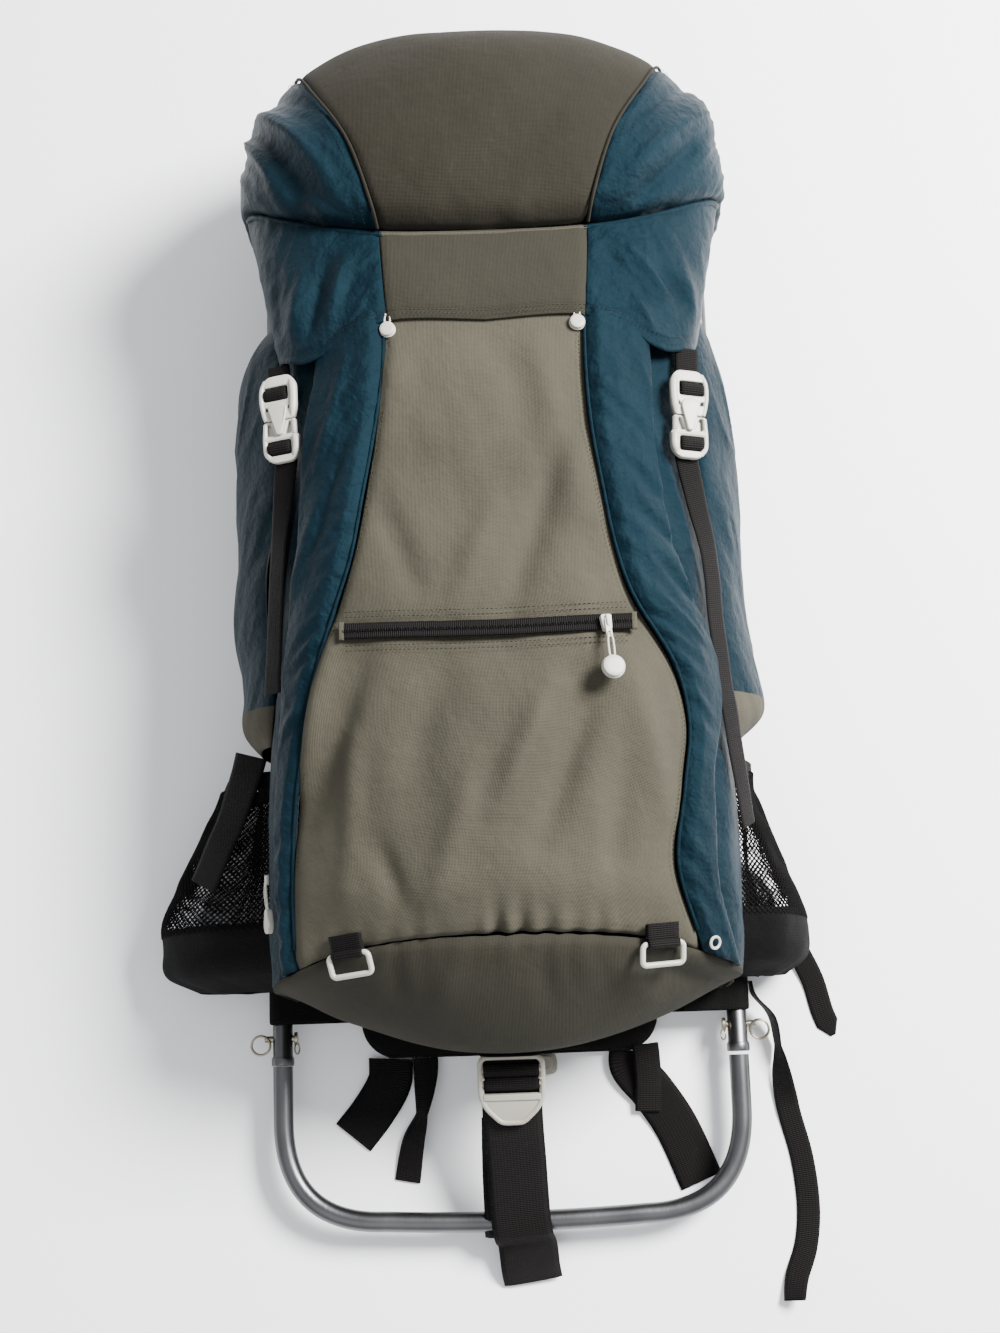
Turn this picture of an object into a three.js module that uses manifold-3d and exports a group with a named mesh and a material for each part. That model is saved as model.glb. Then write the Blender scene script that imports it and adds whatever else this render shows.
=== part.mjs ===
// An external frame backpack lying on its back. Millimetres: X across the pack, Y from foot to hood,
// Z up out of the front. The floor is z = 0. Cloth is modelled as thin walls, webbing as flat ribbons.
import * as THREE from 'three';
import { mergeVertices } from 'three/addons/utils/BufferGeometryUtils.js';
import Module from 'manifold-3d';

const wasm = await Module();
wasm.setup();

// Clearances and stock
const clearance = 0.3;
const clothThickness = 2;
const webbingThickness = 1.6;
const narrowWebbing = 20;
const beltWebbing = 38;
const centreWebbing = 50;

// Frame
const tubeDiameter = 17;
const tubeWall = 1.4;
const tubeSides = 12;
const frameHalfWidth = 195;
const frameTop = 468;
const topBendRadius = 95;
const jointY = -349;
const extensionEnd = -480;
const extensionBendRadius = 85;
const extensionBow = 12;
const spigotLength = 12;
const collarLength = 7;
const collarHeight = 1.2;
const upperCrossbarY = 210;
const lowerCrossbarY = -262;
const crossbarShare = 0.9;
const pinY = -326;
const pinDiameter = 5.5;
const pinHeadDiameter = 11;
const splitRingRadius = 8;
const splitRingWire = 2.2;

// Harness
const padThickness = 15;
const bandThickness = 3;
const bandFoot = -314;
const bandLength = 96;
const bandLap = 45;
const lumbarHalfWidth = 128;
const lumbarFoot = -345;
const lumbarHeight = 112;
const wingWidth = 112;
const wingLength = 150;
const shoulderStrapWidth = 64;
const shoulderStrapLength = 286;

// Bag
const bagFoot = -257;
const bagLength = 657;
const bagHalfWidth = 192;
const bagDepth = 223;
const bottomSag = 70;
const pocketFoot = -97;
const pocketLength = 372;
const pocketBulge = 46;
const netFoot = -287;
const netLength = 178;
const netReach = 104;
const netTopHeight = 125;
const netThickness = 1.6;

// Hood
const hoodOverlap = 91;
const hoodLength = 223;
const hoodHalfWidth = 208;
const hoodHeight = 233;
const hoodRim = 8;
const apronLength = 79;
const apronLift = 2.7;
const hemHalfWidth = 172;

// Fittings
const buckleLength = 74;
const buckleWidth = 33;
const buckleThickness = 8;
const loopWidth = 38;
const loopHeight = 21;
const loopBar = 4.5;
const lockWidth = 56;
const lockLength = 60;
const lockThickness = 6;
const zipY = -21;
const zipLeft = -122;
const zipRight = 109;
const zipWidth = 13;
const zipTapeThickness = 1.2;
const knobRadius = 9;
const beltBuckleWidth = 54;
const beltBuckleLength = 18;
const beltBuckleThickness = 11;

// What follows from them
const tubeRadius = tubeDiameter / 2;
const bandBottom = padThickness + clearance;
const tubeZ = bandBottom + bandThickness + clearance + tubeRadius;
const tubeTopZ = tubeZ + tubeRadius;
const backZ = tubeTopZ + bandThickness + 2 * clearance;
const bagTop = bagFoot + bagLength;
const hoodY = bagTop - hoodOverlap;
const hemY = hoodY - apronLength;
const hemAt = (hemY - bagFoot) / bagLength;

const finishes = {
  aluminium: { color: 0x77787a, roughness: 0.35, metalness: 1 },
  steel: { color: 0xb5aa90, roughness: 0.3, metalness: 1 },
  greyCloth: { color: 0x6d6a5d, roughness: 0.9, metalness: 0 },
  blueCloth: { color: 0x1d3f52, roughness: 0.7, metalness: 0 },
  blackCloth: { color: 0x1b1a19, roughness: 0.9, metalness: 0 },
  netting: { color: 0x151515, roughness: 0.9, metalness: 0 },
  webbing: { color: 0x1f1c1a, roughness: 0.85, metalness: 0 },
  palePlastic: { color: 0xd8d5cb, roughness: 0.4, metalness: 0 },
  beigePlastic: { color: 0xc2bdaf, roughness: 0.45, metalness: 0 },
};

const pack = new THREE.Group();

function add(name, geometry, finish) {
  const mesh = new THREE.Mesh(geometry, new THREE.MeshStandardMaterial(finishes[finish]));
  mesh.name = name;
  pack.add(mesh);
  return mesh;
}

const vec = (x, y, z) => new THREE.Vector3(x, y, z);
const mix = (a, b, share) => a + (b - a) * share;
const clamp = (value, low, high) => Math.min(high, Math.max(low, value));

// Tables: rows of shares under named columns, read with a smooth curve through the rows
const table = (names, rows) => rows.map((row) => Object.fromEntries(names.map((n, i) => [n, row[i]])));

function along(rows, name, place) {
  const last = rows.length - 1;
  const at = clamp(place, rows[0].at, rows[last].at);
  let k = 0;
  while (k < last - 1 && rows[k + 1].at < at) k += 1;
  const slope = (i) => {
    const before = rows[Math.max(i - 1, 0)];
    const after = rows[Math.min(i + 1, last)];
    return (after[name] - before[name]) / (after.at - before.at);
  };
  const step = rows[k + 1].at - rows[k].at;
  const s = (at - rows[k].at) / step;
  const rise = s * s * (3 - 2 * s);
  const leave = s * (1 - s) * (1 - s) * step;
  const arrive = -s * s * (1 - s) * step;
  return mix(rows[k][name], rows[k + 1][name], rise) + slope(k) * leave + slope(k + 1) * arrive;
}

// Solids
function toSolid(geometry) {
  const bare = geometry.clone();
  bare.deleteAttribute('normal');
  bare.deleteAttribute('uv');
  const merged = mergeVertices(bare, 1e-4);
  const vertProperties = new Float32Array(merged.attributes.position.array);
  const triVerts = new Uint32Array(merged.index.array);
  return new wasm.Manifold(new wasm.Mesh({ numProp: 3, vertProperties, triVerts }));
}

function toGeometry(solid) {
  const mesh = solid.getMesh();
  const geometry = new THREE.BufferGeometry();
  geometry.setAttribute('position', new THREE.BufferAttribute(new Float32Array(mesh.vertProperties), 3));
  geometry.setIndex(new THREE.BufferAttribute(new Uint32Array(mesh.triVerts), 1));
  return geometry;
}

const joined = (...parts) => toGeometry(parts.map(toSolid).reduce((whole, part) => whole.add(part)));

// A closed wall along a surface: point(u, v) with u x v pointing out, thickness going in.
// Its edges are drawn back by half a clearance, and cells named by isHole are left open.
function sheet(point, across, up, thickness, options = {}) {
  const { isHole = () => false, inset = clearance / 2 } = options;
  const epsilon = 1e-3;
  const outer = [];
  const inner = [];
  const normalAt = (u, v) => {
    const du = point(u + epsilon, v).sub(point(u - epsilon, v));
    const dv = point(u, v + epsilon).sub(point(u, v - epsilon));
    return du.cross(dv).normalize();
  };
  for (let j = 0; j <= up; j += 1) {
    for (let i = 0; i <= across; i += 1) {
      const u = i / across;
      const v = j / up;
      const p = point(u, v);
      const normal = normalAt(u, v);
      if (i === 0) p.add(point(1 / across, v).sub(p).setLength(inset));
      if (i === across) p.add(point(1 - 1 / across, v).sub(p).setLength(inset));
      if (j === 0) p.add(point(u, 1 / up).sub(point(u, 0)).setLength(inset));
      if (j === up) p.add(point(u, 1 - 1 / up).sub(point(u, 1)).setLength(inset));
      outer.push(p);
      inner.push(p.clone().addScaledVector(normal, -thickness));
    }
  }
  const count = outer.length;
  const node = (i, j) => j * (across + 1) + i;
  const present = (i, j) => i >= 0 && j >= 0 && i < across && j < up && !isHole(i, j);
  const index = [];
  const quad = (a, b, c, d) => index.push(a, b, c, a, c, d);
  const side = (a, b) => quad(b, a, a + count, b + count);
  for (let j = 0; j < up; j += 1) {
    for (let i = 0; i < across; i += 1) {
      if (!present(i, j)) continue;
      const [a, b, c, d] = [node(i, j), node(i + 1, j), node(i + 1, j + 1), node(i, j + 1)];
      quad(a, b, c, d);
      quad(c + count, b + count, a + count, d + count);
      if (!present(i, j - 1)) side(a, b);
      if (!present(i + 1, j)) side(b, c);
      if (!present(i, j + 1)) side(c, d);
      if (!present(i - 1, j)) side(d, a);
    }
  }
  const geometry = new THREE.BufferGeometry();
  const flat = [...outer, ...inner].flatMap((p) => p.toArray());
  geometry.setAttribute('position', new THREE.BufferAttribute(new Float32Array(flat), 3));
  geometry.setIndex(index);
  return geometry;
}

// The same surface on the other side of the pack
function mirrored(point) {
  return (u, v) => {
    const p = point(1 - u, v);
    return vec(-p.x, p.y, p.z);
  };
}

// A flat webbing along a route; each stop gives its place and the roll of its width out of the level
function ribbon(stops, width, steps, options = {}) {
  const { across = null, thickness = webbingThickness } = options;
  const curve = new THREE.CatmullRomCurve3(stops.map((s) => vec(s[0], s[1], s[2])), false, 'centripetal');
  const rollAt = (v) => {
    const place = clamp(v, 0, 1) * (stops.length - 1);
    const k = Math.min(Math.floor(place), stops.length - 2);
    return mix(stops[k][3] ?? 0, stops[k + 1][3] ?? 0, place - k);
  };
  const point = (u, v) => {
    const t = clamp(v, 0, 1);
    const tangent = curve.getTangent(t);
    const level = across ? across.clone() : vec(tangent.y, -tangent.x, 0).normalize();
    level.applyAxisAngle(tangent, THREE.MathUtils.degToRad(rollAt(t)));
    const lift = level.clone().cross(tangent).normalize();
    const centre = curve.getPoint(t).addScaledVector(tangent, (v - t) * 100);
    return centre.addScaledVector(level, (u - 0.5) * width).addScaledVector(lift, thickness / 2);
  };
  return sheet(point, 1, steps, thickness, { inset: 0 });
}

// A round bar along a curve
function bar(curve, radius, steps, sides = tubeSides) {
  const ring = new THREE.Shape(new THREE.Path().absarc(0, 0, radius, 0, 2 * Math.PI).getSpacedPoints(sides));
  return new THREE.ExtrudeGeometry(ring, { steps, extrudePath: curve, bevelEnabled: false });
}

function plate(shape, thickness, curveSegments = 5) {
  const geometry = new THREE.ExtrudeGeometry(shape, { depth: thickness, bevelEnabled: false, curveSegments });
  return geometry.translate(0, 0, -thickness / 2);
}

function roundedShape(width, height, radius) {
  const [w, h] = [width / 2, height / 2];
  const shape = new THREE.Shape();
  shape.absarc(w - radius, h - radius, radius, 0, Math.PI / 2);
  shape.absarc(radius - w, h - radius, radius, Math.PI / 2, Math.PI);
  shape.absarc(radius - w, radius - h, radius, Math.PI, 1.5 * Math.PI);
  shape.absarc(w - radius, radius - h, radius, 1.5 * Math.PI, 2 * Math.PI);
  return shape;
}

function slot(width, height, y) {
  const hole = new THREE.Path();
  hole.moveTo(-width / 2, y - height / 2);
  hole.lineTo(width / 2, y - height / 2);
  hole.lineTo(width / 2, y + height / 2);
  hole.lineTo(-width / 2, y + height / 2);
  hole.closePath();
  return hole;
}

// Places a fitting modelled flat: its x runs across, its y along, its z out of the surface
function placed(geometry, origin, alongDirection, outDirection) {
  const out = outDirection.clone().normalize();
  const y = alongDirection.clone().addScaledVector(out, -alongDirection.dot(out)).normalize();
  const x = y.clone().cross(out);
  return geometry.applyMatrix4(new THREE.Matrix4().makeBasis(x, y, out).setPosition(origin));
}

// Frame
function railGeometry(sign) {
  const bore = tubeRadius - tubeWall;
  const collar = tubeRadius + collarHeight;
  const top = frameTop - topBendRadius - tubeRadius;
  const profile = [
    [bore, jointY], [collar, jointY], [collar, jointY + collarLength], [tubeRadius, jointY + collarLength + 1],
    [tubeRadius, top], [bore, top], [bore, jointY],
  ].map(([r, y]) => new THREE.Vector2(r, y));
  const tube = new THREE.LatheGeometry(profile, tubeSides);
  const bored = new THREE.CylinderGeometry(pinDiameter / 2 + clearance, pinDiameter / 2 + clearance, 40, 10);
  bored.rotateZ(Math.PI / 2).translate(0, pinY, 0);
  const rail = toGeometry(toSolid(tube).subtract(toSolid(bored)));
  return rail.translate(sign * frameHalfWidth, 0, tubeZ);
}

function bentPath(half, legY, endY, radius, bow) {
  const toward = Math.sign(endY - legY);
  const path = new THREE.CurvePath();
  const corner = half - radius;
  const bend = endY - toward * radius;
  const arc = (sign) => new THREE.QuadraticBezierCurve3(
    vec(sign * half, bend, tubeZ), vec(sign * half, endY, tubeZ), vec(sign * corner, endY, tubeZ));
  const reversed = (curve) => new THREE.QuadraticBezierCurve3(curve.v2, curve.v1, curve.v0);
  path.add(new THREE.LineCurve3(vec(-half, legY, tubeZ), vec(-half, bend, tubeZ)));
  path.add(arc(-1));
  path.add(new THREE.QuadraticBezierCurve3(
    vec(-corner, endY, tubeZ), vec(0, endY + toward * bow * 2, tubeZ), vec(corner, endY, tubeZ)));
  path.add(reversed(arc(1)));
  path.add(new THREE.LineCurve3(vec(half, bend, tubeZ), vec(half, legY, tubeZ)));
  return path;
}

function extensionGeometry() {
  const top = jointY - clearance;
  const path = bentPath(frameHalfWidth, top, extensionEnd, extensionBendRadius, extensionBow / 2);
  const spigotRadius = tubeRadius - tubeWall - clearance;
  const spigot = (sign) => {
    const plug = new THREE.CylinderGeometry(spigotRadius, spigotRadius, spigotLength + 2, tubeSides);
    return plug.translate(sign * frameHalfWidth, top + spigotLength / 2 - 1, tubeZ);
  };
  return joined(bar(path, tubeRadius, 30), spigot(-1), spigot(1));
}

function pinGeometry(sign) {
  const inside = tubeRadius + 3;
  const outside = tubeRadius + 7;
  const shank = new THREE.CylinderGeometry(pinDiameter / 2, pinDiameter / 2, inside + outside, 10);
  shank.rotateZ(Math.PI / 2).translate((outside - inside) / 2, 0, 0);
  const head = new THREE.CylinderGeometry(pinHeadDiameter / 2, pinHeadDiameter / 2, 3, 12);
  head.rotateZ(Math.PI / 2).translate(-inside, 0, 0);
  const ring = new THREE.TorusGeometry(splitRingRadius, splitRingWire / 2, 5, 12);
  ring.translate(outside + splitRingRadius * 0.4, -splitRingRadius * 0.6, 0);
  const pin = joined(shank, head, ring);
  if (sign < 0) pin.rotateY(Math.PI);
  return pin.translate(sign * frameHalfWidth, pinY, tubeZ);
}

function crossbarGeometry(y) {
  const reach = frameHalfWidth - tubeRadius - clearance;
  const line = new THREE.LineCurve3(vec(-reach, y, tubeZ), vec(reach, y, tubeZ));
  return bar(line, tubeRadius * crossbarShare, 1);
}

add('rail_left', railGeometry(-1), 'aluminium');
add('rail_right', railGeometry(1), 'aluminium');
const archFoot = frameTop - topBendRadius - tubeRadius + clearance;
add('top_arch', bar(bentPath(frameHalfWidth, archFoot, frameTop - tubeRadius, topBendRadius, 0), tubeRadius, 22),
  'aluminium');
add('crossbar_upper', crossbarGeometry(upperCrossbarY), 'aluminium');
add('crossbar_lower', crossbarGeometry(lowerCrossbarY), 'aluminium');
add('extension_bar', extensionGeometry(), 'aluminium');
add('pin_left', pinGeometry(-1), 'steel');
add('pin_right', pinGeometry(1), 'steel');

// Bag. A section is an arch: a squared oval over its widest point, then a straight flank to the back.
// y is a share of the bag's length, front and widest shares of its depth, half a share of its half width.
const bagSections = table(['at', 'drop', 'front', 'half', 'widest', 'back', 'square'], [
  [0.00, 0.047, 0.848, 0.99, 0.42, 0.96, 2.1],
  [0.08, 0.024, 0.925, 1.00, 0.42, 0.96, 2.3],
  [0.22, 0.000, 0.975, 0.98, 0.43, 0.96, 2.6],
  [0.36, 0.000, 1.000, 0.93, 0.44, 0.97, 2.9],
  [0.51, 0.000, 1.000, 0.905, 0.45, 0.97, 3.0],
  [0.67, 0.000, 0.982, 0.895, 0.45, 0.97, 3.0],
  [0.74, 0.000, 0.964, 0.885, 0.45, 0.97, 3.0],
  [0.82, 0.000, 0.930, 0.875, 0.45, 0.97, 2.9],
  [1.00, 0.000, 0.790, 0.780, 0.42, 0.97, 2.6],
]);
// Where the grey front panel is sewn to the blue sides, as shares of the half width
const frontSeams = table(['at', 'left', 'right'], [
  [0.00, 0.86, 0.80],
  [0.08, 0.86, 0.70],
  [0.17, 0.835, 0.74],
  [0.24, 0.79, 0.77],
  [0.31, 0.745, 0.72],
  [0.39, 0.65, 0.56],
  [0.45, 0.58, 0.495],
  [0.52, 0.53, 0.455],
  [0.61, 0.47, 0.415],
  [0.70, 0.43, 0.405],
  [0.85, 0.43, 0.42],
  [1.00, 0.43, 0.43],
]);
// Long soft folds of the front, ends as shares of half width and length, depth in cloth thicknesses
const frontFolds = table(['x0', 'at0', 'x1', 'at1', 'width', 'depth'], [
  [0.33, 0.28, 0.05, 0.13, 0.10, -2.0],
  [-0.10, 0.27, -0.45, 0.16, 0.13, 1.2],
  [-0.62, 0.05, 0.60, 0.05, 0.09, 1.6],
  [-0.30, 0.55, 0.25, 0.48, 0.16, -1.2],
  [-0.55, 0.365, 0.55, 0.365, 0.05, -1.0],
]);
const flankShare = 0.28;

function bagSection(at) {
  return {
    y: bagFoot + clamp(at, -1, 2) * bagLength,
    drop: along(bagSections, 'drop', at) * bagLength,
    front: backZ + along(bagSections, 'front', at) * bagDepth,
    half: along(bagSections, 'half', at) * bagHalfWidth,
    widest: backZ + along(bagSections, 'widest', at) * bagDepth,
    back: along(bagSections, 'back', at),
    square: along(bagSections, 'square', at),
  };
}

function foldDepth(x, at) {
  let depth = 0;
  for (const fold of frontFolds) {
    const [px, py] = [x / bagHalfWidth, at * bagLength / bagHalfWidth];
    const [ax, ay] = [fold.x0, fold.at0 * bagLength / bagHalfWidth];
    const [bx, by] = [fold.x1, fold.at1 * bagLength / bagHalfWidth];
    const reach = (bx - ax) ** 2 + (by - ay) ** 2;
    const share = clamp(((px - ax) * (bx - ax) + (py - ay) * (by - ay)) / reach, 0, 1);
    const gap = Math.hypot(px - mix(ax, bx, share), py - mix(ay, by, share));
    depth += fold.depth * clothThickness * Math.exp(-((gap / fold.width) ** 2));
  }
  return depth;
}

function arch(shape, x) {
  const share = clamp(Math.abs(x) / shape.half, 0, 1);
  return shape.widest + (shape.front - shape.widest) * (1 - share ** shape.square) ** (1 / shape.square);
}

function bagAtX(x, at) {
  const shape = bagSection(at);
  const y = shape.y - shape.drop * Math.abs(x / shape.half) ** 3;
  return vec(x, y, arch(shape, x) + foldDepth(x, at));
}

// turn runs from 0 at the front's middle to 1 at the right back edge
function bagAtTurn(turn, at) {
  const shape = bagSection(at);
  const over = 1 - flankShare;
  if (turn <= over) {
    const angle = (turn / over) * Math.PI / 2;
    const x = shape.half * Math.sin(angle) ** (2 / shape.square);
    const fade = Math.cos(angle) ** 2;
    const y = shape.y - shape.drop * (x / shape.half) ** 3;
    const z = shape.widest + (shape.front - shape.widest) * Math.max(Math.cos(angle), 0) ** (2 / shape.square);
    return vec(x, y, z + foldDepth(x, at) * fade);
  }
  const down = (turn - over) / flankShare;
  const x = shape.half * (1 - (1 - shape.back) * down * down);
  return vec(x, shape.y - shape.drop, mix(shape.widest, backZ, down));
}

function turnAtX(shape, x) {
  const sine = (x / shape.half) ** (shape.square / 2);
  return (1 - flankShare) * Math.asin(clamp(sine, 0, 1)) / (Math.PI / 2);
}

const seamX = (side, at) => along(frontSeams, side, at) * bagHalfWidth;

function sidePanel(side) {
  return (u, v) => {
    const shape = bagSection(v);
    return bagAtTurn(mix(turnAtX(shape, seamX(side, v)), 1, u), v);
  };
}

function frontPanel(u, v) {
  return bagAtX(mix(-seamX('left', v), seamX('right', v), u), v);
}

// The bottom hangs from the seam round the foot and sags toward the floor before it turns under the bag
function bottomPanel(u, v) {
  const turn = mix(-0.97, 0.97, u);
  const seam = bagAtTurn(Math.abs(turn), 0);
  const fit = clothThickness + 2 * clearance;
  const share = seam.x / bagHalfWidth;
  const foot = bagFoot - bagSections[0].drop * bagLength - fit;
  const sag = bottomSag * (1 - share ** 2) * Math.sin(Math.PI * clamp(v, 0, 1)) ** 0.85;
  const x = seam.x * mix(1, bagSections[0].back, v) * Math.sign(turn);
  return vec(x, mix(seam.y - fit, foot, v) - sag, mix(seam.z, backZ + 8 * clearance, v) - sag * 0.1 * (1 - v));
}

function backPanel(u, v) {
  const shape = bagSection(v);
  const half = shape.half * shape.back - clothThickness - 2 * clearance;
  const foot = bagFoot - bagSections[0].drop * bagLength + clearance;
  return vec(mix(half, -half, u), mix(foot, bagFoot + bagLength, v), backZ);
}

add('bag_front', sheet(frontPanel, 8, 14, clothThickness), 'greyCloth');
add('bag_side_right', sheet(sidePanel('right'), 7, 14, clothThickness), 'blueCloth');
add('bag_side_left', sheet(mirrored(sidePanel('left')), 7, 14, clothThickness), 'blueCloth');
add('bag_bottom', sheet((u, v) => bottomPanel(u, 1 - v), 12, 6, clothThickness), 'greyCloth');
add('bag_back', sheet(backPanel, 2, 8, clothThickness), 'blackCloth');

// Hood: the same kind of arch, whose stations run from the crease over the top to the rim behind.
// middle and sides are how far along its length the middle and the corners of a station lie.
const hoodSections = table(['at', 'middle', 'sides', 'front', 'half', 'widest', 'square'], [
  [0.00, 0.00, 0.24, 0.90, 0.975, 0.47, 2.6],
  [0.15, 0.09, 0.28, 0.99, 1.000, 0.47, 2.6],
  [0.35, 0.34, 0.39, 1.01, 1.000, 0.47, 2.6],
  [0.55, 0.61, 0.52, 0.965, 0.980, 0.45, 2.6],
  [0.70, 0.81, 0.62, 0.855, 0.945, 0.40, 2.6],
  [0.82, 0.945, 0.70, 0.66, 0.905, 0.32, 2.6],
  [0.92, 1.00, 0.74, 0.44, 0.880, 0.22, 2.6],
  [1.00, 0.97, 0.75, 0.14, 0.860, 0.08, 2.6],
]);
const hoodSeams = table(['at', 'edge'], [
  [0.00, 0.41],
  [0.15, 0.435],
  [0.35, 0.52],
  [0.55, 0.66],
  [0.70, 0.73],
  [0.82, 0.77],
  [1.00, 0.785],
]);
const hoodFlank = 0.22;
const cornering = 3;

function hoodSection(at) {
  return {
    middle: hoodY + along(hoodSections, 'middle', at) * hoodLength,
    sides: hoodY + along(hoodSections, 'sides', at) * hoodLength,
    front: backZ + along(hoodSections, 'front', at) * hoodHeight,
    half: along(hoodSections, 'half', at) * hoodHalfWidth,
    widest: backZ + along(hoodSections, 'widest', at) * hoodHeight,
    square: along(hoodSections, 'square', at),
  };
}

const hoodY0 = (shape, x) => mix(shape.middle, shape.sides, Math.abs(x / shape.half) ** cornering);

function hoodAtX(x, at) {
  const shape = hoodSection(at);
  return vec(x, hoodY0(shape, x), arch(shape, x));
}

function hoodAtTurn(turn, at) {
  const shape = hoodSection(at);
  const over = 1 - hoodFlank;
  const angle = Math.min(turn / over, 1) * Math.PI / 2;
  const x = shape.half * Math.sin(angle) ** (2 / shape.square);
  const z = shape.widest + (shape.front - shape.widest) * Math.max(Math.cos(angle), 0) ** (2 / shape.square);
  const down = Math.max(turn - over, 0) / hoodFlank;
  return vec(x - down * down * hoodRim, hoodY0(shape, x), mix(z, backZ + hoodRim, down));
}

function hoodSide(u, v) {
  const shape = hoodSection(v);
  const edge = along(hoodSeams, 'edge', v) * hoodHalfWidth;
  const start = (1 - hoodFlank) * Math.asin((edge / shape.half) ** (shape.square / 2)) / (Math.PI / 2);
  return hoodAtTurn(mix(start, 1, u), v);
}

function hoodTop(u, v) {
  const edge = along(hoodSeams, 'edge', v) * hoodHalfWidth;
  return hoodAtX(mix(-edge, edge, u), v);
}

add('hood_top', sheet(hoodTop, 6, 11, clothThickness), 'greyCloth');
add('hood_side_right', sheet(hoodSide, 6, 11, clothThickness), 'blueCloth');
add('hood_side_left', sheet(mirrored(hoodSide), 6, 11, clothThickness), 'blueCloth');

// Apron: from the crease to an arched hem that runs out into the buckle tabs; y as shares of its length
const hemLine = table(['at', 'y'], [
  [0.00, 0.00],
  [0.40, 0.05],
  [0.55, 0.00],
  [0.67, -0.09],
  [0.78, -0.26],
  [0.88, -0.30],
  [1.00, -0.18],
]);

const apronRise = 0.25;

function apronPoint(share, down) {
  const crease = hoodSection(0);
  const half = mix(crease.half, hemHalfWidth, down);
  const shape = {
    half,
    front: mix(crease.front, bagSection(hemAt).front + apronLift, down),
    widest: mix(crease.widest, bagSection(hemAt).widest + bagDepth * apronRise, down),
    square: crease.square,
  };
  const x = share * half;
  const hem = hemY + along(hemLine, 'y', Math.abs(share)) * apronLength;
  const swell = Math.sin(Math.PI * clamp(down, 0, 1)) * clothThickness * 2;
  return vec(x, mix(hoodY0(crease, share * crease.half), hem, down), arch(shape, x) + swell);
}

const apronSeam = hoodSeams[0].edge / hoodSections[0].half;
const apronCentre = (u, v) => apronPoint(mix(-apronSeam, apronSeam, u), 1 - v);
const apronSide = (u, v) => apronPoint(mix(apronSeam, 1, u), 1 - v);
const apronInset = { inset: 1.4 * clearance };
add('apron_centre', sheet(apronCentre, 6, 3, clothThickness, apronInset), 'greyCloth');
add('apron_right', sheet(apronSide, 6, 3, clothThickness, apronInset), 'blueCloth');
add('apron_left', sheet(mirrored(apronSide), 6, 3, clothThickness, apronInset), 'blueCloth');

// Side pockets stand out from the flanks of the bag
const pocketSwell = table(['at', 'left', 'right'], [
  [0.00, 0.25, 0.22],
  [0.06, 0.62, 0.80],
  [0.14, 0.72, 0.86],
  [0.28, 0.92, 0.72],
  [0.45, 0.97, 0.76],
  [0.62, 1.00, 0.80],
  [0.78, 1.00, 0.78],
  [0.92, 0.85, 0.60],
  [1.00, 0.35, 0.30],
]);
const pocketFront = 0.64;
const pocketBack = 0.95;

function sidePocket(side) {
  return (u, v) => {
    const at = (pocketFoot + v * pocketLength - bagFoot) / bagLength;
    const seat = bagAtTurn(mix(pocketFront, pocketBack, clamp(u, 0, 1)), at);
    const front = bagAtTurn(pocketFront, at);
    const back = bagAtTurn(pocketBack, at);
    const proud = clothThickness - clearance;
    const swell = along(pocketSwell, side, v) * pocketBulge * Math.sin(Math.PI * clamp(u, 0, 1)) ** 0.65;
    return vec(seat.x + proud + swell, front.y, mix(front.z, back.z, u));
  };
}

add('side_pocket_right', sheet(sidePocket('right'), 7, 9, clothThickness), 'blueCloth');
add('side_pocket_left', sheet(mirrored(sidePocket('left')), 7, 9, clothThickness), 'blueCloth');

// Mesh bottle pockets: reach out from the flank and down to the floor, as shares of their named sizes
const netSections = table(['at', 'left', 'right', 'lowLeft', 'lowRight', 'top'], [
  [0.00, 0.72, 0.46, 0.30, 0.55, 0.40],
  [0.08, 0.98, 0.63, 0.06, 0.10, 0.72],
  [0.22, 1.00, 0.66, 0.00, 0.00, 0.88],
  [0.36, 0.97, 0.58, 0.00, 0.02, 0.96],
  [0.55, 0.80, 0.42, 0.00, 0.20, 1.00],
  [0.75, 0.63, 0.28, 0.04, 0.75, 1.00],
  [1.00, 0.46, 0.16, 0.25, 1.00, 1.00],
]);

function netPocket(side, low) {
  return (u, v) => {
    const y = netFoot + v * netLength;
    const at = Math.max((y - bagFoot) / bagLength, 0);
    const wall = bagAtTurn(0.86, at).x + netThickness + 6 * clearance;
    const reach = along(netSections, side, v) * netReach;
    const top = along(netSections, 'top', v) * netTopHeight;
    const seat = backZ + netThickness + 1;
    const floor = along(netSections, low, v) * seat;
    const outside = frameHalfWidth + tubeRadius + bandThickness + netThickness + 3;
    const route = new THREE.CatmullRomCurve3([
      vec(wall, y, top),
      vec(wall + reach * 0.62, y, mix(floor, top, 0.86)),
      vec(Math.max(wall + reach, outside + 3), y, mix(floor, top, 0.42)),
      vec(Math.max(wall + reach * 0.80, outside + 1), y, floor + 4),
      vec(Math.max(wall + reach * 0.5, outside), y, floor + 3),
      vec(outside, y, mix(floor, seat, 0.75)),
      vec(wall + 5, y, seat + 4),
    ], false, 'centripetal');
    return route.getPoint(clamp(u, 0, 1));
  };
}

const netGrid = { across: 15, up: 14, firstRow: 5, lastRow: 12 };
const netHole = (i, j) => {
  const row = (j - netGrid.firstRow) / 2;
  if (j < netGrid.firstRow || j > netGrid.lastRow || !Number.isInteger(row)) return false;
  return i > 0 && i < netGrid.across - 1 && (i + row) % 2 === 1;
};
for (const [side, low, flip] of [['right', 'lowRight', (p) => p], ['left', 'lowLeft', mirrored]]) {
  const wall = sheet(flip(netPocket(side, low)), netGrid.across, netGrid.up, netThickness, { isHole: netHole });
  add(`mesh_pocket_${side}`, wall, 'netting');
}

// Buckles: a plug with a V-shaped nose in a socket, each with a slot for its webbing
const noseDepth = 15;
const slotHeight = 9;
const slotWidth = narrowWebbing + 2;

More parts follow.
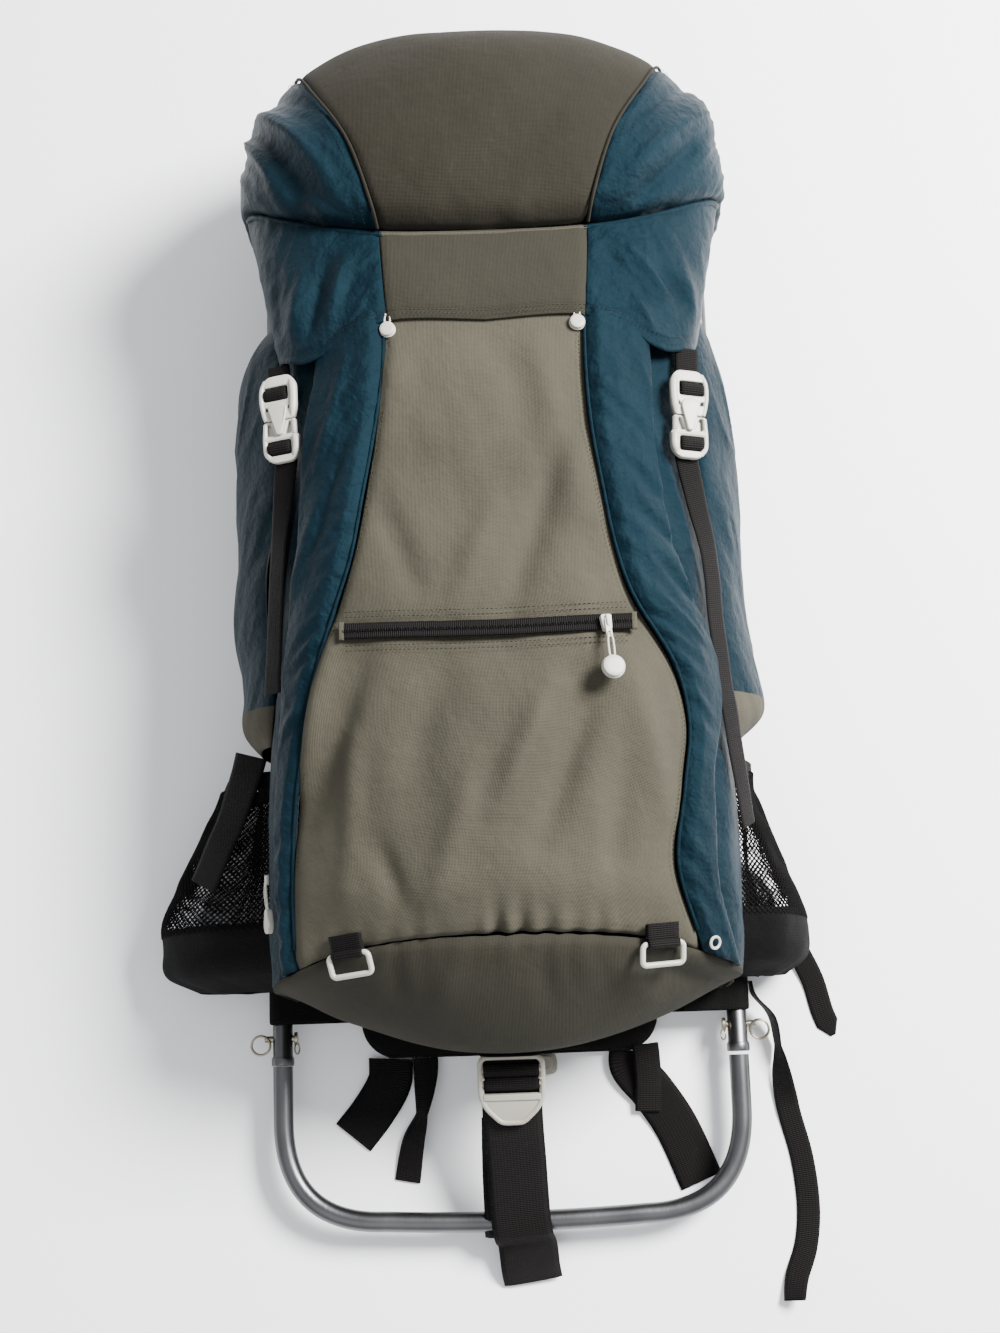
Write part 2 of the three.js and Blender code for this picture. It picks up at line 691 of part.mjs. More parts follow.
function buckleSocket() {
  const half = buckleWidth / 2;
  const foot = -buckleLength / 2;
  const shape = new THREE.Shape();
  shape.moveTo(-half, noseDepth);
  shape.lineTo(-half, foot + 7);
  shape.quadraticCurveTo(-half, foot, 7 - half, foot);
  shape.lineTo(half - 7, foot);
  shape.quadraticCurveTo(half, foot, half, foot + 7);
  shape.lineTo(half, noseDepth);
  shape.lineTo(half - 4, noseDepth);
  shape.lineTo(0, -noseDepth * 0.6);
  shape.lineTo(4 - half, noseDepth);
  shape.closePath();
  shape.holes.push(slot(slotWidth, slotHeight, foot + 5 + slotHeight / 2));
  return plate(shape, buckleThickness, 3);
}

function bucklePlug() {
  const half = buckleWidth / 2;
  const top = buckleLength / 2;
  const gap = clearance * 2;
  const shape = new THREE.Shape();
  shape.moveTo(0, gap * 1.6 - noseDepth * 0.6);
  shape.lineTo(half - 4 - gap, noseDepth + gap);
  shape.lineTo(half, noseDepth + gap);
  shape.lineTo(half, top - 7);
  shape.quadraticCurveTo(half, top, half - 7, top);
  shape.lineTo(7 - half, top);
  shape.quadraticCurveTo(-half, top, -half, top - 7);
  shape.lineTo(-half, noseDepth + gap);
  shape.lineTo(4 + gap - half, noseDepth + gap);
  shape.closePath();
  shape.holes.push(slot(slotWidth, slotHeight, top - 5 - slotHeight / 2));
  return plate(shape, buckleThickness, 3);
}

const flipX = (v, sign) => vec(v.x * sign, v.y, v.z);

function onBag(sign, turn, at, lift) {
  const step = 1e-3;
  const spot = bagAtTurn(turn, at);
  const round = bagAtTurn(turn + step, at).sub(spot);
  const forward = bagAtTurn(turn, at + step).sub(spot);
  const out = round.cross(forward).normalize();
  const origin = spot.addScaledVector(out, lift);
  return { origin: flipX(origin, sign), out: flipX(out, sign), forward: flipX(forward.normalize(), sign) };
}

// A webbing through places that each have an origin and the direction its face looks
function strapThrough(places, width, steps) {
  const curve = new THREE.CatmullRomCurve3(places.map((p) => p.origin), false, 'centripetal');
  const outAt = (t) => {
    const place = t * (places.length - 1);
    const k = Math.min(Math.floor(place), places.length - 2);
    return places[k].out.clone().lerp(places[k + 1].out, place - k).normalize();
  };
  const point = (u, v) => {
    const t = clamp(v, 0, 1);
    const tangent = curve.getTangent(t);
    const out = outAt(t);
    const side = tangent.clone().cross(out).normalize();
    const centre = curve.getPoint(t).addScaledVector(tangent, (v - t) * 100);
    return centre.addScaledVector(side, (u - 0.5) * width).addScaledVector(out, webbingThickness / 2);
  };
  return sheet(point, 1, steps, webbingThickness, { inset: 0 });
}

// Where each buckle lies: how far below the hem, its share of the bag's half width, its lean and its tilt
const buckleSeats = {
  left: { sign: -1, below: 65.9, across: 0.885, lean: -0.07, tilt: 0.27 },
  right: { sign: 1, below: 77, across: 0.84, lean: 0.05, tilt: 0.27 },
};
const webbingDrop = buckleThickness / 2 + webbingThickness / 2 + clearance;

// The buckle's inner edge rides on the shoulder of the bag
function buckleSpot(seat) {
  const x = seat.across * bagHalfWidth;
  const inner = bagAtX(x - buckleWidth / 2, (hemY - seat.below - bagFoot) / bagLength);
  const rise = (buckleWidth / 2) * Math.sin(seat.tilt);
  const lift = buckleThickness / 2 + webbingThickness + 4 * clearance;
  const out = vec(seat.sign * Math.sin(seat.tilt), 0, Math.cos(seat.tilt));
  const forward = vec(seat.lean, 1, 0).projectOnPlane(out).normalize();
  return { origin: vec(seat.sign * x, inner.y, inner.z - rise + lift), out, forward };
}

function underBuckle(spot, ahead, slack = 0) {
  const drop = webbingDrop + slack;
  const origin = spot.origin.clone().addScaledVector(spot.forward, ahead).addScaledVector(spot.out, -drop);
  return { origin, out: spot.out };
}

// Each strap runs from its socket down over the blue side, its face turned up out of the wall by strapRise;
// stops give turn, share of length and lift
const strapRise = 0.6;
const sideStraps = {
  left: [[0.555, 0.49, 8], [0.565, 0.40, 8], [0.56, 0.33, 7.5], [0.55, 0.30, 7]],
  right: [[0.54, 0.45, 8], [0.555, 0.36, 8], [0.555, 0.27, 8], [0.59, 0.20, 8], [0.64, 0.14, 10]],
};
const strapSteps = { left: 16, right: 18 };
for (const [side, seat] of Object.entries(buckleSeats)) {
  const spot = buckleSpot(seat);
  const half = buckleLength / 2;
  add(`buckle_socket_${side}`, placed(buckleSocket(), spot.origin, spot.forward, spot.out), 'palePlastic');
  add(`buckle_plug_${side}`, placed(bucklePlug(), spot.origin, spot.forward, spot.out), 'palePlastic');
  const hem = hemY + apronLength * hemLine[5].y - 2 * clearance;
  const tab = [half - 16, half + 1, hem - spot.origin.y].map((ahead) => underBuckle(spot, ahead));
  add(`hood_tab_${side}`, strapThrough(tab, narrowWebbing, 4), 'webbing');
  const stops = sideStraps[side].map(([turn, at, lift]) => onBag(seat.sign, turn, at, lift));
  for (const stop of stops) stop.out.add(vec(0, 0, strapRise)).normalize();
  const strap = [underBuckle(spot, 16 - half, 0.5), underBuckle(spot, -half, 0.9), ...stops];
  add(`side_strap_${side}`, strapThrough(strap, narrowWebbing, strapSteps[side]), 'webbing');
}

// Zip of the front pocket
function zipStrip(u, v) {
  const x = mix(zipRight, zipLeft, u);
  const droop = 4 * Math.sin(Math.PI * clamp(u, 0, 1));
  const y = zipY - droop + (0.5 - v) * zipWidth;
  const at = (y - bagFoot) / bagLength;
  return bagAtX(x, at).add(vec(0, 0, zipTapeThickness + clearance * 5));
}
add('zip_tape', sheet((u, v) => zipStrip(1 - u, 1 - v), 12, 1, zipTapeThickness, { inset: 0 }), 'blackCloth');

function beadPull(radius, thickness, stem) {
  const bead = new THREE.CylinderGeometry(radius, radius, thickness, 12);
  bead.rotateX(Math.PI / 2).translate(0, -stem, 0);
  const cord = new THREE.BoxGeometry(3, stem, 2.4);
  return joined(bead, cord.translate(0, -stem / 2, 0));
}

function onFront(x, y, lift) {
  const at = (y - bagFoot) / bagLength;
  const spot = bagAtX(x, at);
  const du = bagAtX(x + 0.5, at).sub(spot);
  const dv = bagAtX(x, at + 1e-3).sub(spot);
  const out = du.cross(dv).normalize();
  return { origin: spot.addScaledVector(out, lift), out, forward: dv.normalize() };
}

const zipPull = { x: 84, lift: 6.6 };
const sliderSpot = onFront(zipPull.x, zipY - 4, zipPull.lift);
const slider = joined(
  new THREE.BoxGeometry(9, 13, 6),
  new THREE.BoxGeometry(4, 16, 3).translate(0, -8, 2),
  beadPull(knobRadius, 5, 30).translate(0, -6, 1),
);
add('zip_slider', placed(slider, sliderSpot.origin, vec(-0.08, 1, 0), sliderSpot.out), 'palePlastic');

// Two pulls that hang out under the apron's hem
const hemPull = { radius: 6.5, thickness: 4, left: -79, right: 73 };
for (const side of ['left', 'right']) {
  const x = hemPull[side];
  const hem = hemY + apronLength * along(hemLine, 'y', Math.abs(x) / hemHalfWidth);
  const spot = onFront(x, hem - hemPull.radius - 3 * clearance, hemPull.thickness / 2 + 2 * clearance);
  const bead = new THREE.CylinderGeometry(hemPull.radius, hemPull.radius, hemPull.thickness, 12);
  const pull = placed(bead.rotateX(Math.PI / 2), spot.origin, vec(0, 1, 0), spot.out);
  add(`hem_pull_${side}`, pull, 'palePlastic');
}

// Pull at the foot of the left seam, and the small ring at the right one
const cornerSpot = onBag(-1, 0.60, 0.10, 3.4);
const cornerPull = placed(beadPull(7.5, 6, 34), cornerSpot.origin, vec(0.05, 1, 0), cornerSpot.out);
add('corner_pull', cornerPull, 'palePlastic');
const ringSpot = onBag(1, 0.445, 0.012, 1.7);
const cornerRing = placed(new THREE.TorusGeometry(4.5, 1.2, 5, 10), ringSpot.origin, ringSpot.forward, ringSpot.out);
add('corner_ring', cornerRing, 'palePlastic');

// Ladder loops on webbing tabs at the bottom seam
const loopSeats = { left: { turn: 0.31, lean: 0.10 }, right: { turn: 0.30, lean: -0.10 } };
for (const [side, sign] of [['left', -1], ['right', 1]]) {
  const seat = loopSeats[side];
  const under = loopBar / 2 + webbingThickness / 2 + clearance;
  const tabLength = 18;
  const spot = onBag(sign, seat.turn, 0.006, under + webbingThickness / 2 + 4 * clearance);
  const forward = spot.forward.clone().add(vec(seat.lean * sign, 0, 0));
  const outline = roundedShape(loopWidth, loopHeight, 4);
  outline.holes.push(slot(loopWidth - 2 * loopBar, loopHeight - 2 * loopBar, 0));
  const hang = -tabLength / 2 - loopHeight / 2 + loopBar + 1;
  const loop = plate(outline, loopBar, 2).translate(0, hang, 0);
  add(`ladder_loop_${side}`, placed(loop, spot.origin, forward, spot.out), 'palePlastic');
  const tab = new THREE.BoxGeometry(loopWidth - 2 * loopBar - 2, tabLength, webbingThickness);
  add(`loop_tab_${side}`, placed(tab.translate(0, 0, -under), spot.origin, forward, spot.out), 'webbing');
}

// Tension lock and the wide strap that goes round the extension bar
const lockY = -374.5;
const lockZ = 84;
const lockShape = new THREE.Shape();
lockShape.moveTo(-lockWidth / 2, lockLength / 2);
lockShape.lineTo(-lockWidth / 2, -lockLength * 0.12);
lockShape.quadraticCurveTo(-lockWidth / 2 + 2, -lockLength / 2, 0, -lockLength / 2);
lockShape.quadraticCurveTo(lockWidth / 2 - 2, -lockLength / 2, lockWidth / 2, -lockLength * 0.12);
lockShape.lineTo(lockWidth / 2, lockLength / 2);
lockShape.closePath();
for (const y of [0.33, 0.02]) lockShape.holes.push(slot(centreWebbing - 2, 8, lockLength * y));
const lockOut = vec(0, -0.30, 0.95);
const lockForward = vec(0, 0.95, 0.30);
const lockSpot = vec(0, lockY, lockZ);
add('tension_lock', placed(plate(lockShape, lockThickness, 5), lockSpot, lockForward, lockOut), 'beigePlastic');
const acrossPack = vec(1, 0, 0);
const wrap = tubeRadius + webbingThickness / 2 + clearance * 4;
const barY = extensionEnd - extensionBow / 2;
const underLock = lockThickness / 2 + webbingThickness / 2 + 3 * clearance;
const bottomSeat = bottomPanel(0.5, 0.58);
const lockSlope = lockOut.y / lockOut.z;
add('centre_strap', ribbon([
  [0, bottomSeat.y - webbingThickness / 2 - 2 * clearance, bottomSeat.z],
  [0, lockY + lockLength * 0.5 + 0.6, lockZ - lockSlope * lockLength * 0.5 - underLock - 3],
  [0, lockY + lockLength * 0.25, lockZ - lockSlope * lockLength * 0.25 - underLock - 1.4],
  [0, lockY - lockLength * 0.35, lockZ + lockSlope * lockLength * 0.35 - underLock], [2, lockY - 62, 54],
  [4, barY + 6, tubeZ + wrap + 1], [6, barY - wrap * 0.8, tubeZ + wrap * 0.7], [9, barY - wrap - 6, tubeZ - 4],
  [11, barY - 36, 12], [13, barY - 48, 4],
], centreWebbing, 22, { across: acrossPack }), 'webbing');

// Harness
function bandGeometry() {
  const radius = tubeRadius + clearance + bandThickness;
  const corner = (sign, from, to) => [0, 1, 2, 3, 4, 5, 6].map((k) => {
    const angle = mix(from, to, k / 6);
    return [sign * frameHalfWidth + radius * Math.cos(angle), tubeZ + radius * Math.sin(angle)];
  });
  const lapX = frameHalfWidth - bandLap;
  const half = Math.PI / 2;
  const route = [
    [lapX, tubeZ + radius], ...corner(1, half, -half), [0, tubeZ - radius],
    ...corner(-1, -half, -3 * half), [-lapX, tubeZ + radius],
  ];
  const point = (u, v) => {
    const place = clamp(u, 0, 1) * (route.length - 1);
    const k = Math.min(Math.floor(place), route.length - 2);
    const share = place - k + (u - clamp(u, 0, 1));
    return vec(mix(route[k][0], route[k + 1][0], share), bandFoot + v * bandLength, mix(route[k][1], route[k + 1][1], share));
  };
  return sheet(point, route.length - 1, 1, bandThickness, { inset: 0 });
}
add('back_band', bandGeometry(), 'blackCloth');

function pad(shape, thickness) {
  const edge = 3;
  const geometry = new THREE.ExtrudeGeometry(shape, {
    depth: thickness - 2 * edge, bevelEnabled: true, bevelThickness: edge, bevelSize: edge, bevelOffset: -edge,
    bevelSegments: 1, curveSegments: 3,
  });
  return geometry.translate(0, 0, edge);
}

const lumbar = pad(roundedShape(2 * lumbarHalfWidth, lumbarHeight, 30), padThickness);
add('lumbar_pad', lumbar.translate(0, lumbarFoot + lumbarHeight / 2, 0), 'blackCloth');
for (const [side, sign] of [['left', -1], ['right', 1]]) {
  const wing = pad(roundedShape(wingWidth, wingLength, 26), padThickness - 1);
  const wingY = lumbarFoot + lumbarHeight + wingLength / 2 + clearance;
  add(`hip_wing_${side}`, wing.translate(sign * (wingWidth / 2 + 12), wingY, 0), 'blackCloth');
}

function shoulderOutline() {
  const half = shoulderStrapWidth / 2;
  const length = shoulderStrapLength;
  const route = new THREE.CatmullRomCurve3([
    vec(0, length, 0), vec(6, length * 0.75, 0), vec(26, length * 0.5, 0), vec(36, length * 0.25, 0), vec(26, 0, 0),
  ]);
  const steps = 8;
  const left = [];
  const right = [];
  for (let k = 0; k <= steps; k += 1) {
    const t = k / steps;
    const p = route.getPoint(t);
    const width = half * (1 - 0.35 * Math.abs(2 * t - 0.8) ** 3);
    left.push(new THREE.Vector2(p.x - width, p.y));
    right.unshift(new THREE.Vector2(p.x + width, p.y));
  }
  return new THREE.Shape([...left, ...right]);
}
const hangerReach = 13;
const hangerLength = 16;
const shoulderX = 70;
const strapFoot = upperCrossbarY + hangerReach - shoulderStrapLength;
for (const [side, sign] of [['right', 1], ['left', -1]]) {
  const cushion = pad(shoulderOutline(), padThickness - 2).translate(shoulderX, strapFoot, 0);
  const hangerHeight = tubeZ - tubeRadius * crossbarShare - clearance;
  const hanger = new THREE.BoxGeometry(narrowWebbing, hangerLength, hangerHeight - 4);
  hanger.translate(shoulderX, upperCrossbarY, hangerHeight / 2 + 2);
  const strap = joined(cushion, hanger);
  const geometry = sign > 0 ? strap : toGeometry(toSolid(strap).mirror([1, 0, 0]));
  add(`shoulder_strap_${side}`, geometry, 'blackCloth');
}

const beltBuckle = plate(roundedShape(beltBuckleWidth, beltBuckleLength, 7), beltBuckleThickness, 3);
add('belt_buckle', beltBuckle.translate(13, lumbarFoot - beltBuckleLength / 2 - clearance, beltBuckleThickness / 2),
  'beigePlastic');

// Loose webbing on the floor: each stop is x, y, height and roll, from the corner that the tail leaves
const tail = (name, corner, width, steps, stops) => {
  const placedStops = stops.map(([x, y, z, roll]) => [corner[0] + x, corner[1] + y, z, roll]);
  add(name, ribbon(placedStops, width, steps), 'webbing');
};
const leftPad = [-lumbarHalfWidth, lumbarFoot];
const rightPad = [lumbarHalfWidth, lumbarFoot];
const rightBand = [frameHalfWidth, bandFoot];
const rightPocket = [bagHalfWidth, netFoot];
tail('belt_tail_left', leftPad, beltWebbing, 12, [[24, -0.5, 7], [22.5, -20, 5.5], [8, -44, 2.4], [-10, -66, 1.4]]);
tail('twisted_tail_left', leftPad, narrowWebbing + 2, 16, [
  [54, -0.5, 8, 0], [54, -16, 9, 20], [50, -48, 12, 60], [42, -72, 10, 25], [36, -104, 1.2, 0],
]);
tail('belt_tail_right', rightPad, beltWebbing, 10, [
  [-24, -clearance, 7], [-23.5, -14, 6], [-6, -36, 4], [13, -66, 1.4], [32, -112, 1.2],
]);
tail('long_tail_right', rightBand, narrowWebbing, 24, [
  [13.2, 24, 27, 90], [16, 12, 26, 88], [31, -6, 19, 80], [36, -31, 12, 80], [38, -56, 10.5, 40], [43, -86, 2.2, 0],
  [52, -126, 1, 0], [55, -166, 1, 0], [51, -198, 1.2, 0], [41, -224, 4.6, 15], [37, -242, 12, 35],
]);
tail('pointed_tail_right', rightPocket, narrowWebbing, 8, [
  [61.4, 25, 4.4], [74, -3, 1.6], [81, -31, 1], [89, -51, 1],
]);

// A wide webbing over the left bottle pocket: how far round the pocket, how far up it, and its lift
const netStrapStops = [[0.10, 1.08], [0.13, 0.94], [0.16, 0.78], [0.19, 0.62], [0.22, 0.48]];
const netSurface = netPocket('left', 'lowLeft');
const netStrapPlaces = netStrapStops.map(([u, v]) => {
  const spot = netSurface(u, Math.min(v, 1));
  const round = netSurface(u + 0.01, Math.min(v, 1)).sub(spot);
  const out = round.clone().cross(vec(0, 1, 0)).normalize();
  spot.addScaledVector(out, webbingThickness * 1.5).add(vec(0, Math.max(v - 1, 0) * netLength, 0));
  return { origin: flipX(spot, -1), out: flipX(out, -1) };
});
add('net_strap_left', strapThrough(netStrapPlaces, beltWebbing - 6, 8), 'webbing');

// The origin is the middle of the pack's box, on the floor
const extent = new THREE.Box3().setFromObject(pack);
const middle = extent.getCenter(vec(0, 0, 0));
pack.position.set(-middle.x, -middle.y, 0);

export default pack;
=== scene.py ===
# Looks of an external frame backpack that lies on its back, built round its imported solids.
# Shapes are worked out in millimetres in the pack's own axes and placed in the frame, in metres, by toRow.
import math

import bmesh
import bpy
import numpy as np
from mathutils import Matrix, Vector


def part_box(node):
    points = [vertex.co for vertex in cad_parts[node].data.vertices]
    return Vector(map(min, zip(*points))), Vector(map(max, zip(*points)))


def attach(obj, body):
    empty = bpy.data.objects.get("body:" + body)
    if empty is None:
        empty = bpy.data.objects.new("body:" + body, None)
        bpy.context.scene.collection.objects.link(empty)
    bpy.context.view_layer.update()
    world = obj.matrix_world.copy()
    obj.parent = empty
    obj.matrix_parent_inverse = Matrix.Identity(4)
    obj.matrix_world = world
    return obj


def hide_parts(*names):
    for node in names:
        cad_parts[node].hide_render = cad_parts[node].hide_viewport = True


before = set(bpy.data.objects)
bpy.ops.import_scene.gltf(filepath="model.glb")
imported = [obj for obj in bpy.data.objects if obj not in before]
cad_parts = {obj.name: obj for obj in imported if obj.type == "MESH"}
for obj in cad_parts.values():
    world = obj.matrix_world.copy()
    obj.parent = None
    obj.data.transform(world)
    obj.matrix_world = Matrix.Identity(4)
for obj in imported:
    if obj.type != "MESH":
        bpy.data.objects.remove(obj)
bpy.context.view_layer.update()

print("frame loaded:", len(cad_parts), "solids")

# Driving sizes in mm, the same as the solids have
sides = (("left", -1), ("right", 1))
clearance = 0.3
clothThickness = 2.0
webbing = {"thickness": 1.6, "narrow": 20, "belt": 38, "centre": 50}
tube = {"radius": 8.5, "halfWidth": 195, "top": 468, "topBend": 95, "joint": -349,
        "end": -480, "endBend": 85, "bow": 12, "collar": 7, "collarRise": 1.2,
        "upperBar": 210, "lowerBar": -262, "barShare": 0.9, "pinY": -326}
bag = {"foot": -257, "length": 657, "halfWidth": 192, "depth": 223, "sag": 70, "flank": 0.28}
hood = {"y": 309, "length": 223, "halfWidth": 208, "height": 233, "rim": 8, "flank": 0.22, "cornering": 3}
pad = {"thickness": 15, "bandThickness": 3, "bandFoot": -314, "bandLength": 96, "lap": 45,
       "lumbarHalf": 128, "lumbarFoot": -345, "lumbarHeight": 112}
tubeZ = pad["thickness"] + pad["bandThickness"] + 2 * clearance + tube["radius"]
backZ = tubeZ + tube["radius"] + pad["bandThickness"] + 2 * clearance

railLow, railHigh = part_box("rail_left")[0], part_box("rail_right")[1]
shift = np.array([(railLow.x + railHigh.x) * 500, railLow.y * 1000 - tube["joint"], 0.0])


def toRow(points):
    return (np.asarray(points, float) + shift) / 1000


# Camera, at the photograph's angle
camera = {"elevation": 78, "distance": 1.75, "aim": (2, 0, 0), "lens": 52.1, "roll": 1.93}


def addCamera():
    rise, roll = math.radians(camera["elevation"]), math.radians(camera["roll"])
    aim = Vector(toRow(camera["aim"]))
    ahead = Vector((0, math.cos(rise), -math.sin(rise)))
    up = Vector((0, math.sin(rise), math.cos(rise)))
    right = Vector((1, 0, 0))
    tiltedUp = up * math.cos(roll) + right * math.sin(roll)
    tiltedRight = right * math.cos(roll) - up * math.sin(roll)
    data = bpy.data.cameras.new("photo_camera")
    data.lens = camera["lens"]
    body = bpy.data.objects.new("photo_camera", data)
    bpy.context.scene.collection.objects.link(body)
    turn = Matrix((tiltedRight, tiltedUp, -ahead)).transposed().to_4x4()
    body.matrix_world = Matrix.Translation(aim - ahead * camera["distance"]) @ turn
    bpy.context.scene.camera = body


addCamera()


# Tables: named columns read with a smooth curve through the rows
def table(names, rows):
    return {name: np.array([row[i] for row in rows], float) for i, name in enumerate(names.split())}


def along(rows, name, place):
    at, value = rows["at"], rows[name]
    last = len(at) - 1
    place = np.clip(place, at[0], at[-1])
    k = np.clip(np.searchsorted(at, place, side="left") - 1, 0, last - 1)
    before, after = np.maximum(np.arange(last + 1) - 1, 0), np.minimum(np.arange(last + 1) + 1, last)
    slope = (value[after] - value[before]) / (at[after] - at[before])
    step = at[k + 1] - at[k]
    s = (place - at[k]) / step
    rise = s * s * (3 - 2 * s)
    leave, arrive = s * (1 - s) ** 2 * step, -s * s * (1 - s) * step
    return value[k] + (value[k + 1] - value[k]) * rise + slope[k] * leave + slope[k + 1] * arrive


def mix(a, b, share):
    return a + (b - a) * share


def stack(x, y, z):
    return np.stack(np.broadcast_arrays(x, y, z), -1).astype(float)


def unit(v):
    return v / np.maximum(np.linalg.norm(v, axis=-1, keepdims=True), 1e-9)


def runAlong(points):  # distance from the first point of a line
    return np.concatenate([[0], np.cumsum(np.linalg.norm(np.diff(points, axis=0), axis=1))])


def upward(count):  # the faces of a strip that lies flat
    return np.tile([0.0, 0.0, 1.0], (count, 1))


# Smooth random field between 0 and 1, the same on every run
def noise(x, y, seed):
    xi, yi = np.floor(x).astype(np.int64), np.floor(y).astype(np.int64)
    fx, fy = x - xi, y - yi
    fx, fy = fx ** 3 * (fx * (fx * 6 - 15) + 10), fy ** 3 * (fy * (fy * 6 - 15) + 10)

    def corner(i, j):
        h = (i * 374761393 + j * 668265263 + seed * 1274126177) & 0xFFFFFFFF
        h = ((h ^ (h >> 13)) * 1274126177) & 0xFFFFFFFF
        return ((h ^ (h >> 16)) & 0xFFFF) / 65535.0

    low = mix(corner(xi, yi), corner(xi + 1, yi), fx)
    high = mix(corner(xi, yi + 1), corner(xi + 1, yi + 1), fx)
    return mix(low, high, fy)


# Creased cloth: ridges of a random field, longer one way than the other
def creases(x, y, seed, across, lengthwise, lean):
    turned = x + lean * y
    field = noise(turned / across, y / lengthwise, seed) * 0.65
    field += noise(turned / across * 2.1, y / lengthwise * 1.7, seed + 7) * 0.35
    return (1 - np.abs(2 * field - 1)) ** 2.2


# Folds laid along short lines: the ends in the panel's own mm, the width and the depth in mm
def folds(x, y, rows, even=False):
    depth = np.zeros(np.broadcast(x, y).shape)
    for ax, ay, bx, by, width, rise in rows:
        reach = max((bx - ax) ** 2 + (by - ay) ** 2, 1e-6)
        share = np.clip(((x - ax) * (bx - ax) + (y - ay) * (by - ay)) / reach, 0, 1)
        gap = np.hypot(x - mix(ax, bx, share), y - mix(ay, by, share))
        fade = 1 if even else 0.35 + 0.65 * np.sin(np.pi * np.clip(share, 0.02, 0.98)) ** 0.6
        depth = depth + rise * fade * np.exp(-((gap / width) ** 2))
    return depth


# Bag
bagSections = table("at drop front half widest back square", [
    [0.00, 0.047, 0.848, 0.99, 0.42, 0.96, 2.1],
    [0.08, 0.024, 0.925, 1.00, 0.42, 0.96, 2.3],
    [0.22, 0.000, 0.975, 0.98, 0.43, 0.96, 2.6],
    [0.36, 0.000, 1.000, 0.93, 0.44, 0.97, 2.9],
    [0.51, 0.000, 1.000, 0.905, 0.45, 0.97, 3.0],
    [0.67, 0.000, 0.982, 0.895, 0.45, 0.97, 3.0],
    [0.74, 0.000, 0.964, 0.885, 0.45, 0.97, 3.0],
    [0.82, 0.000, 0.930, 0.875, 0.45, 0.97, 2.9],
    [1.00, 0.000, 0.790, 0.780, 0.42, 0.97, 2.6],
])
frontSeams = table("at left right", [
    [0.00, 0.86, 0.80], [0.08, 0.86, 0.70], [0.17, 0.835, 0.74], [0.24, 0.79, 0.77], [0.31, 0.745, 0.72],
    [0.39, 0.65, 0.56], [0.45, 0.58, 0.495], [0.52, 0.53, 0.455], [0.61, 0.47, 0.415], [0.70, 0.43, 0.405],
    [0.85, 0.43, 0.42], [1.00, 0.43, 0.43],
])
# Long soft folds of the front, ends as shares of half width and length, depth in cloth thicknesses
frontFolds = [
    [0.33, 0.28, 0.05, 0.13, 0.10, -2.0],
    [-0.10, 0.27, -0.45, 0.16, 0.13, 1.2],
    [-0.62, 0.05, 0.60, 0.05, 0.09, 1.6],
    [-0.30, 0.55, 0.25, 0.48, 0.16, -1.2],
    [-0.55, 0.365, 0.55, 0.365, 0.05, -1.0],
]


def sizedSection(rows, at, low, high, wide):  # shares of a table turned into mm
    shape = {name: along(rows, name, at) for name in rows if name != "at"}
    shape["half"] = shape["half"] * wide
    for name in ("front", "widest"):
        shape[name] = low + shape[name] * high
    return shape


def bagSection(at):
    shape = sizedSection(bagSections, at, backZ, bag["depth"], bag["halfWidth"])
    shape["y"] = bag["foot"] + np.clip(at, -1, 2) * bag["length"]
    shape["drop"] = shape["drop"] * bag["length"]
    return shape


def foldDepth(x, at):
    tall = bag["length"] / bag["halfWidth"]
    rows = [(ax, ay * tall, bx, by * tall, width, rise) for ax, ay, bx, by, width, rise in frontFolds]
    return clothThickness * folds(x / bag["halfWidth"], at * tall, rows, even=True)


def arch(shape, x):
    share = np.clip(np.abs(x) / shape["half"], 0, 1)
    square = shape["square"]
    return shape["widest"] + (shape["front"] - shape["widest"]) * (1 - share ** square) ** (1 / square)


def bagAtX(x, at):
    shape = bagSection(at)
    y = shape["y"] - shape["drop"] * np.abs(x / shape["half"]) ** 3
    return stack(x, y, arch(shape, x) + foldDepth(x, at))


# turn runs from 0 at the front's middle to 1 at the right back edge
def bagAtTurn(turn, at):
    shape = bagSection(at)
    over = 1 - bag["flank"]
    angle = np.clip(turn / over, 0, 1) * np.pi / 2
    cosine, sine = np.maximum(np.cos(angle), 0), np.sin(angle)
    x = shape["half"] * sine ** (2 / shape["square"])
    y = shape["y"] - shape["drop"] * (x / shape["half"]) ** 3
    z = shape["widest"] + (shape["front"] - shape["widest"]) * cosine ** (2 / shape["square"])
    z = z + foldDepth(x, at) * cosine ** 2
    down = np.maximum(turn - over, 0) / bag["flank"]
    x = x - shape["half"] * (1 - shape["back"]) * down * down
    return stack(x, y, mix(z, backZ, down))


def turnAtX(shape, x):
    sine = np.clip(x / shape["half"], 0, 1) ** (shape["square"] / 2)
    return (1 - bag["flank"]) * np.arcsin(np.clip(sine, 0, 1)) / (np.pi / 2)


def seamX(side, at):
    return along(frontSeams, side, at) * bag["halfWidth"]


def sidePanel(side):
    return lambda u, v: bagAtTurn(mix(turnAtX(bagSection(v), seamX(side, v)), 1, u), v)


def frontPanel(u, v):
    return bagAtX(mix(-seamX("left", v), seamX("right", v), u), v)


def bottomPanel(u, v):
    turn = mix(-0.97, 0.97, u)
    seam = bagAtTurn(np.abs(turn), 0 * turn)
    fit = clothThickness + 2 * clearance
    share = seam[..., 0] / bag["halfWidth"]
    drop, back = bagSections["drop"][0], bagSections["back"][0]
    foot = bag["foot"] - drop * bag["length"] - fit
    sag = bag["sag"] * (1 - share ** 2) * np.sin(np.pi * np.clip(v, 0, 1)) ** 0.85
    x = seam[..., 0] * mix(1, back, v) * np.sign(turn)
    y = mix(seam[..., 1] - fit, foot, v) - sag
    return stack(x, y, mix(seam[..., 2], backZ + 8 * clearance, v) - sag * 0.1 * (1 - v))


